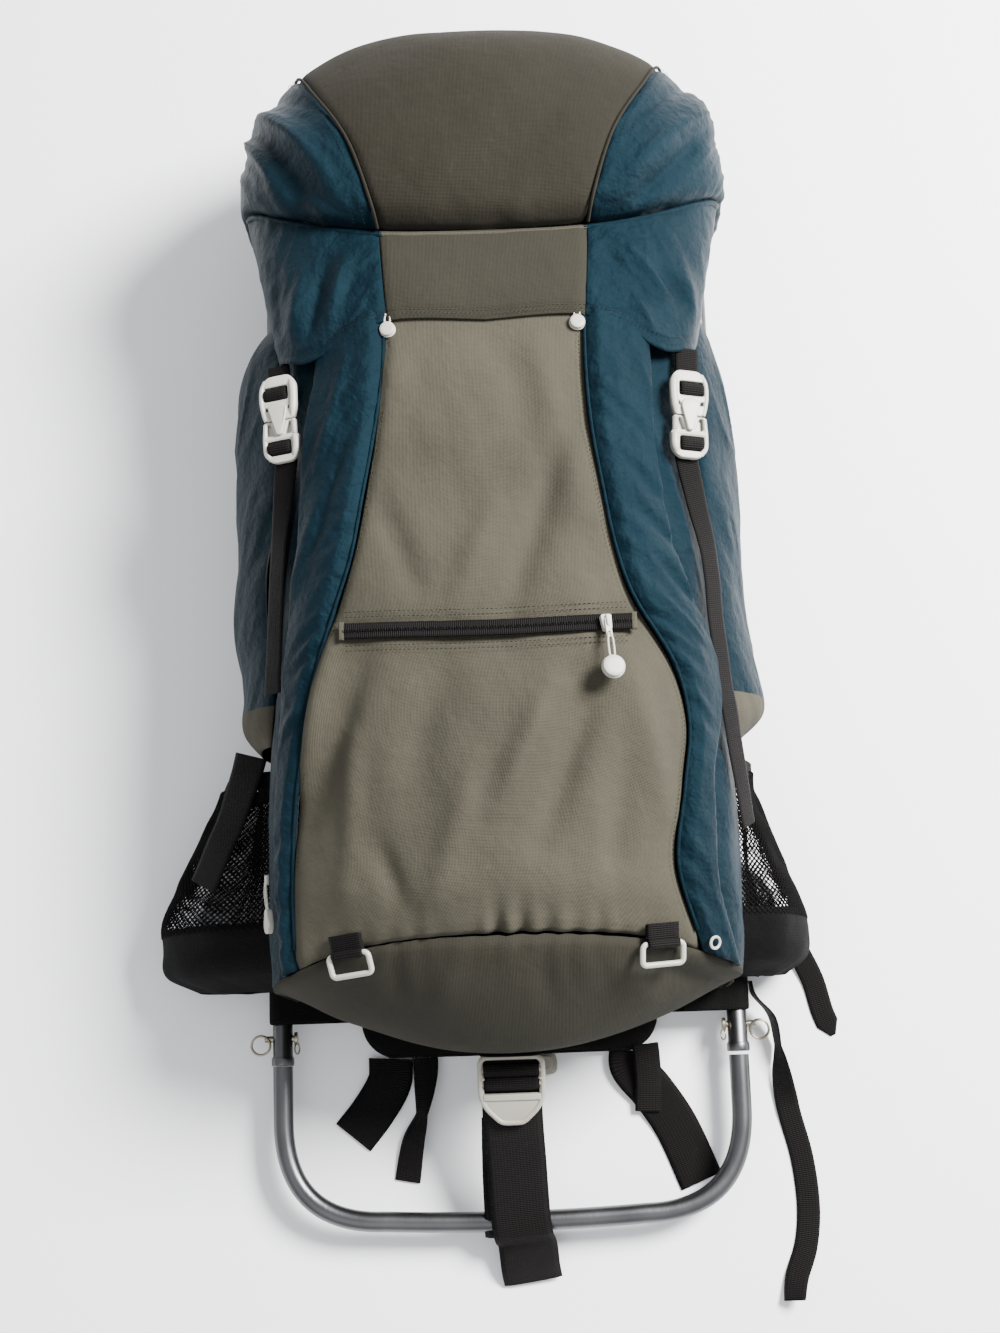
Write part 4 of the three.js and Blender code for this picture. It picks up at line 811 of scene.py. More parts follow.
def flippedHeight(height):
    def other(spot):
        turned = dict(spot)
        turned["s"] = spot["width"] - spot["s"]
        return height(turned)
    return other


# A blue panel at the right and its mirror at the left
def addPair(name, point, columns, rows, replaces, height, **more):
    addPanel(name.format("right"), point("right"), columns, rows, blueCloth, [replaces.format("right")],
             height("right"), **more)
    addPanel(name.format("left"), mirrored(point("left")), columns, rows, blueCloth, [replaces.format("left")],
             flippedHeight(height("left")), **more)


addPair("side_{}_cloth", sidePanel, sideLook["columns"], sideLook["rows"], "bag_side_{}", sideHeight)

# Bottom panel: gathers under the seam fan out over the sag
bottomDrapes = [[-120, 20, -150, 70, 16, -3], [-40, 10, -52, 60, 10, 2.4], [20, 8, 34, 60, 9, -2.4],
                [80, 14, 108, 60, 14, 3.0], [118, 24, 165, 40, 12, -4.0], [-90, 12, -84, 52, 8, -2.0],
                [60, 12, 66, 46, 8, 2.0]]


def bottomHeight(spot):
    x, t = spot["x"], spot["length"] - spot["t"]      # t runs down from the seam
    h = folds(x, t, bottomDrapes)
    wave = np.sin(2 * np.pi * (x + 6 * noise(x / 28, 0 * x, 13)) / 19.0)
    middle = np.exp(-(((x + 5) / 100) ** 2))
    h += 2.4 * wave * np.exp(-t / 20) * (0.2 + 0.8 * middle) * noise(x / 30, 0 * x + 9, 14)
    h += 2.0 * (noise(x / 60, t / 40, 15) - 0.5) + edgeDip(t, 2.6, 5.0)
    ends = np.clip((0.97 - np.abs(2 * spot["u"] - 1)) / 0.12, 0, 1)
    return h * ends * np.clip((spot["length"] - t) / 12, 0, 1)


# The bottom panel wears the darker copy of the grey cloth: painted shade
addPanel("bottom_panel_cloth", lambda u, v: bottomPanel(u, 1 - v), 150, 42, greyClothPaintedShade, ["bag_bottom"],
         bottomHeight)
addPanel("back_panel_cloth", backPanel, 24, 50, blackCloth, ["bag_back"],
         lambda spot: 0.25 * (noise(spot["s"] / 30, spot["t"] / 40, 17) - 0.5))

# Hood
hoodFolds = {
    "top": [[-60, 40, 30, 110, 22, 3.0], [-20, 30, 60, 90, 14, -2.2], [-80, 150, 0, 200, 26, 2.4],
            [60, 130, 110, 210, 22, -2.2], [-40, 12, -18, 34, 10, -2.0], [20, 10, 34, 30, 9, 2.0]],
    "left": [[26, 30, 52, 128, 11, 7.0], [60, 22, 74, 92, 12, -7.0], [18, 120, 44, 200, 12, -4.0],
             [82, 18, 98, 110, 10, 4.0], [30, 14, 60, 20, 8, 4.0], [92, 60, 60, 150, 12, 3.0]],
    "right": [[20, 34, 60, 90, 12, 6.0], [44, 20, 84, 60, 10, -6.0], [14, 90, 40, 180, 14, -4.0],
              [70, 80, 40, 160, 12, 5.0], [28, 10, 70, 16, 7, 3.0], [100, 40, 80, 120, 12, 4.0]],
}


def hoodTopHeight(spot):
    side = np.minimum(spot["s"], spot["width"] - spot["s"])
    x, t = spot["x"], spot["t"]
    h = folds(x, t, hoodFolds["top"]) + 4.0 * (noise(x / 90, t / 80, 41) - 0.5)
    h += 1.0 * (noise(x / 28, t / 36, 42) - 0.5)
    h += 2.6 * np.exp(-((t / 10) ** 2)) * (noise(x / 22, 0 * x, 43) - 0.6)
    return h + edgeDip(side, 2.6, 4.0) + edgeDip(t, 4.0, 5.0)


def hoodSideHeight(side):
    def height(spot):
        s, t = spot["s"], spot["t"]
        fade = np.clip((spot["width"] - s) / 30, 0, 1)
        h = fade * (folds(s, t, hoodFolds[side]) + 5.0 * (noise(s / 50, t / 70, 51) - 0.5))
        h += fade * 2.2 * (creases(s, t, 53 if side == "left" else 67, 30, 80, -0.5) - 0.35)
        return h + edgeDip(s, 2.6, 4.0) + edgeDip(t, 3.5, 5.0)
    return height


addPanel("hood_top_cloth", hoodTop, 84, 96, hoodCloth, ["hood_top"], hoodTopHeight)
addPair("hood_{}_cloth", lambda side: hoodSide, 76, 96, "hood_side_{}", hoodSideHeight)

# Apron
apronFolds = {
    "left": [[30, 66, 46, 20, 7, 4.0], [48, 70, 68, 24, 7, -4.0], [70, 74, 84, 30, 8, 3.5], [18, 50, 34, 30, 5, -2.0],
             [96, 84, 104, 30, 8, -3.0]],
    "right": [[14, 60, 50, 34, 6, -3.0], [20, 76, 74, 50, 6, 3.5], [60, 66, 92, 44, 7, -3.5],
              [84, 78, 104, 30, 8, 3.0], [40, 30, 60, 14, 5, 2.0]],
}


def apronHeight(side):
    def height(spot):
        s, t = spot["s"], spot["t"]
        crumple = creases(s, t, 61 if side == "left" else 63, 24, 40, 0.5) - 0.35
        h = folds(s, t, apronFolds[side]) + 1.4 * crumple
        hem = -1.2 * np.exp(-(((t - 7.5) / 1.6) ** 2))
        return h * np.clip(t / 12, 0.15, 1) + hem + edgeDip(s, 1.6, 3.0)
    return height


def apronMiddleHeight(spot):
    x, t = spot["x"], spot["t"]
    side = np.minimum(spot["s"], spot["width"] - spot["s"])
    h = 2.4 * (noise(x / 40, t / 50, 64) - 0.5) * np.clip(t / 14, 0.1, 1)
    return h - 1.0 * np.exp(-(((t - 7.5) / 1.6) ** 2)) + edgeDip(side, 1.8, 3.5)


def apronSeamAt(v):
    return apron["seam"] + 0.045 * (1 - v)


def apronCentre(u, v):
    return apronPoint(mix(-apronSeamAt(v), apronSeamAt(v), u), 1 - v)


def apronSide(u, v):
    return apronPoint(mix(apronSeamAt(v), 1, u), 1 - v)


# The apron's middle wears the darker copy of the grey cloth: painted shade
addPanel("apron_centre_cloth", apronCentre, 72, 40, greyClothPaintedShade, ["apron_centre"], apronMiddleHeight, 1.6)
addPair("apron_{}_cloth", lambda side: apronSide, 64, 48, "apron_{}", apronHeight, wall=1.6)

# Side pockets: blue, with a grey base
def pocketHeight(side):
    def height(spot):
        s, t = spot["s"], spot["t"]
        edge = np.minimum(s, spot["width"] - s)
        fade = np.clip(edge / 25, 0, 1) * np.clip(np.minimum(t, spot["length"] - t) / 20, 0, 1)
        h = 5.0 * (noise(s / 46, t / 60, 71 if side == "left" else 73) - 0.5)
        h += 2.0 * (creases(s, t, 75, 26, 60, 0.4) - 0.35)
        return fade * h
    return height


def pocketBase(spot):
    return (spot["v"] < 0.085).astype(int)


addPair("side_pocket_{}_cloth", sidePocket, 56, 100, "side_pocket_{}", pocketHeight, extra=(greyCloth, pocketBase))
print("bag, hood and pockets made")


# Tubes, strips and plates
def frames(points, out=None):
    ahead = unit(np.gradient(points, axis=0))
    if out is None:
        guess = np.array([0.0, 0.0, 1.0]) if abs(ahead[0][2]) < 0.9 else np.array([1.0, 0.0, 0.0])
        out = np.zeros_like(points)
        for k in range(len(points)):
            guess = guess - ahead[k] * np.dot(guess, ahead[k])
            guess = guess / np.linalg.norm(guess)
            out[k] = guess
    else:
        out = unit(out - ahead * np.sum(out * ahead, axis=1, keepdims=True))
    return ahead, out, np.cross(ahead, out)


def tubeShape(points, radius, sides=16, closed=False, out=None):
    points = np.asarray(points, float)
    count = len(points)
    radius = np.broadcast_to(np.asarray(radius, float), (count,))
    ahead, up, side = frames(points, out)
    angle = np.linspace(0, 2 * np.pi, sides, endpoint=False)
    ring = up[:, None, :] * np.cos(angle)[None, :, None] + side[:, None, :] * np.sin(angle)[None, :, None]
    verts = (points[:, None, :] + ring * radius[:, None, None]).reshape(-1, 3)
    run = runAlong(points)
    flat = np.stack(np.broadcast_arrays(angle[None, :] * radius.mean(), run[:, None]), -1).reshape(-1, 2)
    faces = []
    last = count if closed else count - 1
    for j in range(last):
        a, b = j * sides, ((j + 1) % count) * sides
        faces += [(a + i, a + (i + 1) % sides, b + (i + 1) % sides, b + i) for i in range(sides)]
    if not closed:
        faces += [tuple(range(sides))[::-1], tuple(range((count - 1) * sides, count * sides))]
    return verts, faces, flat


def joinShapes(shapes):
    verts, faces, flats, base = [], [], [], 0
    for v, f, flat in shapes:
        verts.append(v)
        faces += [tuple(base + i for i in face) for face in f]
        flats.append(flat)
        base += len(v)
    return np.concatenate(verts), faces, np.concatenate(flats)


def addShape(name, shape, material, replaces=(), sharp=None):
    verts, faces, flat = shape
    faces = [tuple(int(i) for i in face) for face in faces]
    piece = newPiece(name, verts, faces, flat, [material], replaces)
    work = bmesh.new()
    work.from_mesh(piece.data)
    bmesh.ops.recalc_face_normals(work, faces=work.faces)
    work.to_mesh(piece.data)
    work.free()
    if sharp:
        piece.data.set_sharp_from_angle(angle=math.radians(sharp))
    return piece


# A woven strip with soft edges; its face looks along out
def stripShape(points, out, width, thickness, across=10, crown=0.25, taper=None):
    points = np.asarray(points, float)
    ahead, up, side = frames(points, np.asarray(out, float))
    x = np.linspace(-1, 1, across + 1)
    edge = thickness / 2 * np.sqrt(np.maximum(1 - np.abs(x) ** 10, 0)) + 0.02
    lift = crown * (1 - x * x)
    section = [(a, e + c) for a, e, c in zip(x, edge, lift)]
    section += [(a, c - e) for a, e, c in zip(x[::-1][1:-1], edge[::-1][1:-1], lift[::-1][1:-1])]
    section = np.array(section)
    count, ring = len(points), len(section)
    half = np.full(count, width / 2.0) if taper is None else width / 2.0 * np.asarray(taper)
    verts = (points[:, None, :] + side[:, None, :] * (section[None, :, 0] * half[:, None])[..., None]
             + up[:, None, :] * section[None, :, 1][..., None]).reshape(-1, 3)
    run = runAlong(points)
    flat = np.stack(np.broadcast_arrays(section[None, :, 0] * width / 2, run[:, None]), -1).reshape(-1, 2)
    faces = []
    for j in range(count - 1):
        a, b = j * ring, (j + 1) * ring
        faces += [(a + i, a + (i + 1) % ring, b + (i + 1) % ring, b + i) for i in range(ring)]
    faces += [tuple(range(ring))[::-1], tuple(range((count - 1) * ring, count * ring))]
    return verts, faces, flat


def cordShape(stops, count, radius, sides):
    return tubeShape(smoothLine(stops, count), radius, sides)


# Small parts drawn flat as an outline with holes, thickened with rounded edges
def plateShape(outline, holes, thickness, bevel):
    bevel = min(bevel, 0.9)
    curve = bpy.data.curves.new("outline", "CURVE")
    curve.dimensions, curve.fill_mode = "2D", "BOTH"
    curve.extrude = max(thickness / 2 - bevel, 0.01) / 1000
    curve.bevel_depth, curve.bevel_resolution = bevel / 1000, 3
    curve.offset = -bevel / 1000
    for ring in [outline, *holes]:
        spline = curve.splines.new("POLY")
        spline.points.add(len(ring) - 1)
        for point, (x, y) in zip(spline.points, ring):
            point.co = (x / 1000, y / 1000, 0, 1)
        spline.use_cyclic_u = True
    carrier = bpy.data.objects.new("outline", curve)
    bpy.context.scene.collection.objects.link(carrier)
    bpy.context.view_layer.update()
    mesh = bpy.data.meshes.new_from_object(carrier.evaluated_get(bpy.context.evaluated_depsgraph_get()))
    work = bmesh.new()
    work.from_mesh(mesh)
    bmesh.ops.remove_doubles(work, verts=work.verts, dist=1e-5)
    verts = np.array([v.co for v in work.verts]) * 1000
    faces = [tuple(v.index for v in face.verts) for face in work.faces]
    work.free()
    bpy.data.objects.remove(carrier)
    bpy.data.curves.remove(curve)
    bpy.data.meshes.remove(mesh)
    return verts, faces, verts[:, :2].copy()


def arcPoints(x, y, radius, start, end, count=6):
    angle = np.radians(np.linspace(start, end, count))
    return list(zip(x + radius * np.cos(angle), y + radius * np.sin(angle)))


def roundedRing(width, height, radius, x=0.0, y=0.0):
    w, h = width / 2 - radius, height / 2 - radius
    return (arcPoints(x + w, y + h, radius, 0, 90) + arcPoints(x - w, y + h, radius, 90, 180)
            + arcPoints(x - w, y - h, radius, 180, 270) + arcPoints(x + w, y - h, radius, 270, 360))


# Moves a shape drawn flat to its seat: x across, y ahead, z out
def seated(shape, origin, forward, out):
    verts, faces, flat = shape
    out = unit(np.asarray(out, float))
    forward = np.asarray(forward, float)
    forward = unit(forward - out * np.dot(forward, out))
    side = np.cross(forward, out)
    return np.asarray(origin, float) + verts @ np.stack([side, forward, out]), faces, flat


def addPart(name, shapes, seat, material, replaces=(), sharp=None):
    addShape(name, seated(joinShapes(shapes), *seat), material, replaces, sharp)


def shifted(shape, z):
    return shape[0] + np.array([0.0, 0.0, z]), shape[1], shape[2]


def onBag(sign, turn, at, lift):
    step = 1e-3
    spot = bagAtTurn(turn, at)
    around, forward = bagAtTurn(turn + step, at) - spot, bagAtTurn(turn, at + step) - spot
    out = unit(np.cross(around, forward))
    flip = np.array([sign, 1, 1])
    return (spot + out * lift) * flip, out * flip, unit(forward) * flip


def onFront(x, y, lift):
    at = (y - bag["foot"]) / bag["length"]
    spot = bagAtX(x, at)
    out = unit(np.cross(bagAtX(x + 0.5, at) - spot, bagAtX(x, at + 1e-3) - spot))
    return spot + out * lift, out


# Frame tubes
def bentPath(half, legY, endY, radius, bow, count=96):
    toward = math.copysign(1, endY - legY)
    corner, bend = half - radius, endY - toward * radius
    bow = bow / 2

    def quadratic(a, b, c, n):
        t = np.linspace(0, 1, n, endpoint=False)[:, None]
        return (1 - t) ** 2 * np.array(a) + 2 * t * (1 - t) * np.array(b) + t * t * np.array(c)

    n = count // 6
    leg = np.linspace([-half, legY], [-half, bend], n, endpoint=False)
    parts = [leg, quadratic([-half, bend], [-half, endY], [-corner, endY], n * 2),
             quadratic([-corner, endY], [0, endY + toward * bow * 2], [corner, endY], n),
             quadratic([corner, endY], [half, endY], [half, bend], n * 2),
             np.linspace([half, bend], [half, legY], n)]
    flatPath = np.concatenate(parts)
    return smoothLine(np.column_stack([flatPath, np.full(len(flatPath), tubeZ)])[::2], count)


def addFrame():
    for side, sign in sides:
        top = tube["top"] - tube["topBend"] - tube["radius"]
        y = np.array([tube["joint"], tube["joint"] + 0.6, tube["joint"] + 1.4, tube["joint"] + tube["collar"] - 1,
                      tube["joint"] + tube["collar"], tube["joint"] + tube["collar"] + 1.5, -120.0, 150.0, top])
        rise = tube["collarRise"]
        swell = np.array([0.4, 1.0, rise, rise, 0.9, 0.0, 0.0, 0.0, 0.0])
        points = np.column_stack([np.full(len(y), sign * tube["halfWidth"]), y, np.full(len(y), tubeZ)])
        addShape(f"rail_{side}_tube", tubeShape(points, tube["radius"] + swell, 32), tubeMetal, [f"rail_{side}"],
                 sharp=50)
    archFoot = tube["top"] - tube["topBend"] - tube["radius"] + clearance
    top = bentPath(tube["halfWidth"], archFoot, tube["top"] - tube["radius"], tube["topBend"], 0)
    addShape("top_arch_tube", tubeShape(top, tube["radius"], 28), tubeMetal, ["top_arch"], sharp=50)
    low = bentPath(tube["halfWidth"], tube["joint"] - clearance, tube["end"], tube["endBend"], tube["bow"] / 2, 120)
    addShape("extension_tube", tubeShape(low, tube["radius"], 32), tubeMetal, ["extension_bar"], sharp=50)
    for name, y in (("upper", tube["upperBar"]), ("lower", tube["lowerBar"])):
        reach = tube["halfWidth"] - tube["radius"] - clearance
        points = np.array([[x, y, tubeZ] for x in np.linspace(-reach, reach, 9)])
        addShape(f"crossbar_{name}_tube", tubeShape(points, tube["radius"] * tube["barShare"], 24), tubeMetal,
                 [f"crossbar_{name}"], sharp=50)


def ringPath(centre, radius, axisA, axisB, count=28, turns=1.0, rise=0.0):
    angle = np.linspace(0, 2 * np.pi * turns, int(count * turns) + (turns > 1), endpoint=turns > 1)
    a, b = unit(np.asarray(axisA, float)), unit(np.asarray(axisB, float))
    lift = np.cross(a, b)
    return (np.asarray(centre, float) + np.outer(np.cos(angle) * radius, a) + np.outer(np.sin(angle) * radius, b)
            + np.outer(angle / (2 * np.pi) * rise, lift))


pinLook = {"shank": 2.75, "head": 5.5, "inside": 3.0, "outside": 7.0, "ring": 8.0, "wire": 1.0}


def addPins():
    for side, sign in sides:
        look = pinLook
        inner, outer = tube["radius"] + look["inside"], tube["radius"] + look["outside"]
        shank = tubeShape([[x, 0, 0] for x in np.linspace(-inner - 1.4, outer, 6)], look["shank"], 20)
        head = tubeShape([[-inner - 1.6, 0, 0], [-inner - 1.3, 0, 0], [-inner + 1.1, 0, 0], [-inner + 1.5, 0, 0]],
                         np.array([4.6, look["head"], look["head"], 4.9]), 24)
        centre = (outer + look["ring"] * 0.4, -look["ring"] * 0.6, 0)
        coil = tubeShape(ringPath(centre, look["ring"], (1, 0, 0), (0, 1, 0.15), turns=2.0, rise=1.7), look["wire"],
                         8)
        eye = tubeShape(ringPath((-inner - 1.0, -8.5, 2.0), 4.6, (0.35, 0, 1), (0, 1, 0)), 0.7, 8, closed=True)
        verts, faces, flat = joinShapes([shank, head, coil, eye])
        verts = verts * np.array([sign, 1, 1]) + np.array([sign * tube["halfWidth"], tube["pinY"], tubeZ])
        addShape(f"pin_{side}_and_ring", (verts, faces, flat), pinMetal, [f"pin_{side}"], sharp=50)


addFrame()
addPins()
print("frame made")


# Webbing along listed places: each is a point and the way its face looks
def addStrap(name, places, width, replaces, steps=70, taper=None, flutter=0.0, crown=0.25):
    points = np.array([place[0] for place in places], float)
    faces = unit(np.array([place[1] for place in places], float))
    line = smoothLine(points, steps)
    knots = runAlong(points)
    run = np.linspace(0, knots[-1], steps)
    out = unit(np.column_stack([np.interp(run, knots, faces[:, k]) for k in range(3)]))
    if flutter:
        line = line + out * (flutter * (noise(run / 28, 0 * run, len(name)) - 0.5) * np.clip(run / 20, 0, 1))[:, None]
    shape = stripShape(line, out, width, webbing["thickness"], taper=taper, crown=crown)
    addShape(name, shape, strapWebbing, replaces)


buckle = {"length": 74, "width": 33, "thickness": 8}
buckleSeats = {
    "left": {"sign": -1, "below": 65.9, "across": 0.885, "lean": -0.07, "tilt": 0.27},
    "right": {"sign": 1, "below": 77, "across": 0.84, "lean": 0.05, "tilt": 0.27},
}
strapRise = 0.6
sideStraps = {  # turn, share of length and lift of each stop below the buckle
    "left": [(0.555, 0.49, 8), (0.565, 0.40, 8), (0.56, 0.33, 7.5), (0.55, 0.30, 7)],
    "right": [(0.54, 0.45, 8), (0.555, 0.36, 8), (0.555, 0.27, 8), (0.59, 0.20, 8), (0.64, 0.14, 10)],
}
hemY = hood["y"] - apron["length"]


def buckleSpot(seat):
    x = seat["across"] * bag["halfWidth"]
    inner = bagAtX(x - buckle["width"] / 2, (hemY - seat["below"] - bag["foot"]) / bag["length"])
    rise = buckle["width"] / 2 * math.sin(seat["tilt"])
    lift = buckle["thickness"] / 2 + webbing["thickness"] + 4 * clearance
    out = np.array([seat["sign"] * math.sin(seat["tilt"]), 0, math.cos(seat["tilt"])])
    forward = np.array([seat["lean"], 1.0, 0.0])
    forward = unit(forward - out * np.dot(forward, out))
    return np.array([seat["sign"] * x, inner[1], inner[2] - rise + lift]), forward, out


def bezierRing(*stops):  # rounds a polygon's corners: x, y, radius
    ring = []
    count = len(stops)
    for k, (x, y, r) in enumerate(stops):
        before, after = np.array(stops[k - 1][:2], float), np.array(stops[(k + 1) % count][:2], float)
        here = np.array([x, y], float)
        r = min(r, 0.45 * np.linalg.norm(before - here), 0.45 * np.linalg.norm(after - here))
        if r <= 0:
            ring.append((x, y))
            continue
        a, b = here + unit(before - here) * r, here + unit(after - here) * r
        for t in np.linspace(0, 1, 6):
            ring.append(tuple((1 - t) ** 2 * a + 2 * t * (1 - t) * here + t * t * b))
    kept = [ring[0]]
    for point in ring[1:]:
        if math.dist(point, kept[-1]) > 0.35:
            kept.append(point)
    return kept[:-1] if math.dist(kept[0], kept[-1]) < 0.35 else kept


def blankShape(thickness, bevel, *stops):  # a plate with no hole
    return plateShape(bezierRing(*stops), [], thickness, bevel)


# Side-release buckle: plug on top with its arrow plate, socket below, seen with the raised rail toward +x
buckleLook = {"ridges": 7, "ridgePitch": 1.65}


def buckleShapes(rail):
    top = bezierRing((-9, 37, 7), (11, 37, 8), (16.2, 30, 9), (15.5, 8, 14), (12.4, -1, 3), (-11.4, -1, 3),
                     (-15.8, 12, 14), (-14.6, 27, 9))
    window = bezierRing((-12.4, 28, 2), (9, 28, 2), (9, 15.5, 3), (-12.4, 15.5, 3))
    holes = [window, bezierRing((-11.5, 11.5, 1), (-8, 9.5, 1), (-9, 7.5, 1), (-12, 8, 1)),
             bezierRing((8.4, 10, 1), (11, 11.6, 1), (10.6, 8, 1), (7.6, 7.4, 1))]
    plug = [shifted(plateShape(top, holes, 5.6, 1.4), z=-0.4)]
    low = bezierRing((-13.6, -1.8, 2), (13.6, -1.8, 2), (13.6, -14, 2), (16, -15.5, 2), (15.4, -30, 8), (9, -37, 8),
                     (-8, -37, 8), (-15.6, -30, 8), (-15.6, -14, 6))
    lowWindow = bezierRing((-12.6, -18.5, 2), (8.6, -18.5, 2), (8.6, -31, 2), (-12.6, -31, 2))
    gaps = [bezierRing((-11.6, -3.4, 1.5), (-8.2, -3.4, 1.5), (-4.6, -13.6, 1.5), (-11.8, -13.6, 2.5)),
            bezierRing((7.6, -3.4, 1.5), (9.8, -3.4, 1.5), (9.8, -13.6, 2.5), (3.6, -13.6, 1.5))]
    socket = [shifted(plateShape(low, [lowWindow] + gaps, 5.4, 1.4), z=-0.5)]
    socket.append(shifted(blankShape(1.2, 0.3, (-12, -3, 1), (10, -3, 1), (10, -14, 1), (-12, -14, 1)), z=-2.6))
    upRail = smoothLine([(11.5, 33, 0.8), (13.4, 27, 1.3), (13.6, 18, 1.5), (12.6, 8, 1.3), (11.2, 0.5, 0.8)], 18)
    plug.append(tubeShape(upRail, np.interp(np.linspace(0, 1, 18), [0, 0.15, 0.8, 1], [1.6, 3.3, 3.2, 1.8]), 14))
    lowRail = smoothLine([(12.0, -15.2, 0.8), (12.6, -18, 1.2), (12.6, -26, 1.3), (10.4, -33, 0.8)], 14)
    socket.append(tubeShape(lowRail, np.interp(np.linspace(0, 1, 14), [0, 0.12, 0.8, 1], [2.2, 3.3, 3.1, 1.8]), 14))
    arm = smoothLine([(11.6, -2.2, 0.6), (12.2, -8, 0.7), (12.2, -14, 0.6)], 10)
    socket.append(tubeShape(arm, 2.1, 12))
    for k in range(buckleLook["ridges"]):
        y = -3.4 - k * buckleLook["ridgePitch"]
        socket.append(tubeShape([[10.6, y, 2.0], [12.0, y, 2.9], [13.6, y, 2.0], [14.2, y, 0.8]], 0.62, 8))
    thinRail = [(-10, 34, 0.6), (-13.4, 27, 1.0), (-14.2, 16, 1.2), (-12.8, 5, 1.0), (-11.4, 0, 0.6)]
    plug.append(tubeShape(smoothLine(thinRail, 16), 2.0, 12))
    socket.append(cordShape([(-12.6, -3, 0.4), (-13.4, -14, 0.8), (-13.4, -26, 0.8), (-9.6, -34, 0.4)], 16, 1.9, 12))
    arrow = bezierRing((-8.6, 9.8, 4), (-3, 13.2, 6), (5, 12.6, 5), (7.8, 8.2, 4), (2.6, -14.6, 2.2),
                       (-1.8, -14.6, 2.2))
    verts, faces, flat = plateShape(arrow, [], 3.4, 1.2)
    verts = verts + np.array([0, 0, 3.0]) + np.stack([0 * verts[:, 0], 0 * verts[:, 1], 0.5 - verts[:, 1] * 0.03], -1)
    plug.append((verts, faces, flat))
    plug.append(cordShape([(7.0, 9.5, 4.2), (6.4, 3, 4.8), (1.8, -12.6, 4.4)], 16, 0.9, 8))
    plug.append(tubeShape([[x, 14.6, 0.6] for x in np.linspace(-12, 10, 6)], 1.8, 10))
    socket.append(tubeShape([[x, -16.4, 1.0] for x in np.linspace(-13, 11, 6)], 1.9, 10))
    flip = np.array([rail, 1, 1])
    return [[(v * flip, f, flat) for v, f, flat in group] for group in (plug, socket)]


def webbingRoll(y, rail, tuck):  # webbing wrapped over a bar in the buckle's window
    angle = np.radians(np.linspace(-35, 215, 22))
    points = np.column_stack([np.full(22, -1.8 * rail), y + 4.6 * np.cos(angle), 0.2 + 3.4 * np.sin(angle)])
    out = np.column_stack([0 * angle, np.cos(angle), np.sin(angle)])
    lip = stripShape(points, out, 20.0, 1.7, crown=0.1)
    points = points + np.array([0.4 * rail, tuck, -1.3])
    return [lip, stripShape(points, out, 19.2, 1.5, crown=0.1)]


for side, seat in buckleSeats.items():
    origin, forward, out = buckleSpot(seat)
    buckleSeat = origin, forward, out
    sign = seat["sign"]
    plug, socket = buckleShapes(-sign)
    addPart(f"buckle_{side}_plug_part", plug, buckleSeat, palePlastic, [f"buckle_plug_{side}"], sharp=55)
    addPart(f"buckle_{side}_socket_part", socket, buckleSeat, palePlastic, [f"buckle_socket_{side}"], sharp=55)
    rolls = webbingRoll(21.6, -sign, -2.4) + webbingRoll(-24.6, -sign, 2.2)
    addPart(f"buckle_{side}_webbing", rolls, buckleSeat, strapWebbing)
    drop = buckle["thickness"] / 2 + webbing["thickness"] / 2 + clearance
    under = lambda ahead, slack=0.0: (origin + forward * ahead - out * (drop + slack), out)
    half = buckle["length"] / 2
    hem = hemY + apron["length"] * hemLine["y"][5] - 2 * clearance
    addStrap(f"hood_tab_{side}_webbing", [under(half - 16), under(half + 1), under(hem - origin[1] + 6, 0.6)],
             webbing["narrow"], [f"hood_tab_{side}"], 24)
    stops = [onBag(sign, turn, at, lift)[:2] for turn, at, lift in sideStraps[side]]
    stops = [(spot, unit(face + np.array([0, 0, strapRise]))) for spot, face in stops]
    addStrap(f"side_strap_{side}_webbing", [under(16 - half, 0.5), under(-half, 0.9)] + stops, webbing["narrow"],
             [f"side_strap_{side}"], 110, flutter=2.0)

# A second, loose end beside the left strap
looseTail = [(0.575, 0.585, 4.5), (0.60, 0.53, 9), (0.635, 0.47, 12), (0.665, 0.42, 12), (0.66, 0.375, 8),
             (0.645, 0.345, 5)]
tailPlaces = [onBag(-1, turn, at, lift)[:2] for turn, at, lift in looseTail]
addStrap("side_tail_left_webbing", tailPlaces, webbing["narrow"], [], 60, flutter=2.5)
print("buckles and side straps made")

# Tension lock with the wide strap through it
lock = {"y": -374.5, "z": 84, "width": 56, "length": 60, "thickness": 6, "wire": 2.3}
lockOut, lockForward = unit(np.array([0, -0.30, 0.95])), unit(np.array([0, 0.95, 0.30]))


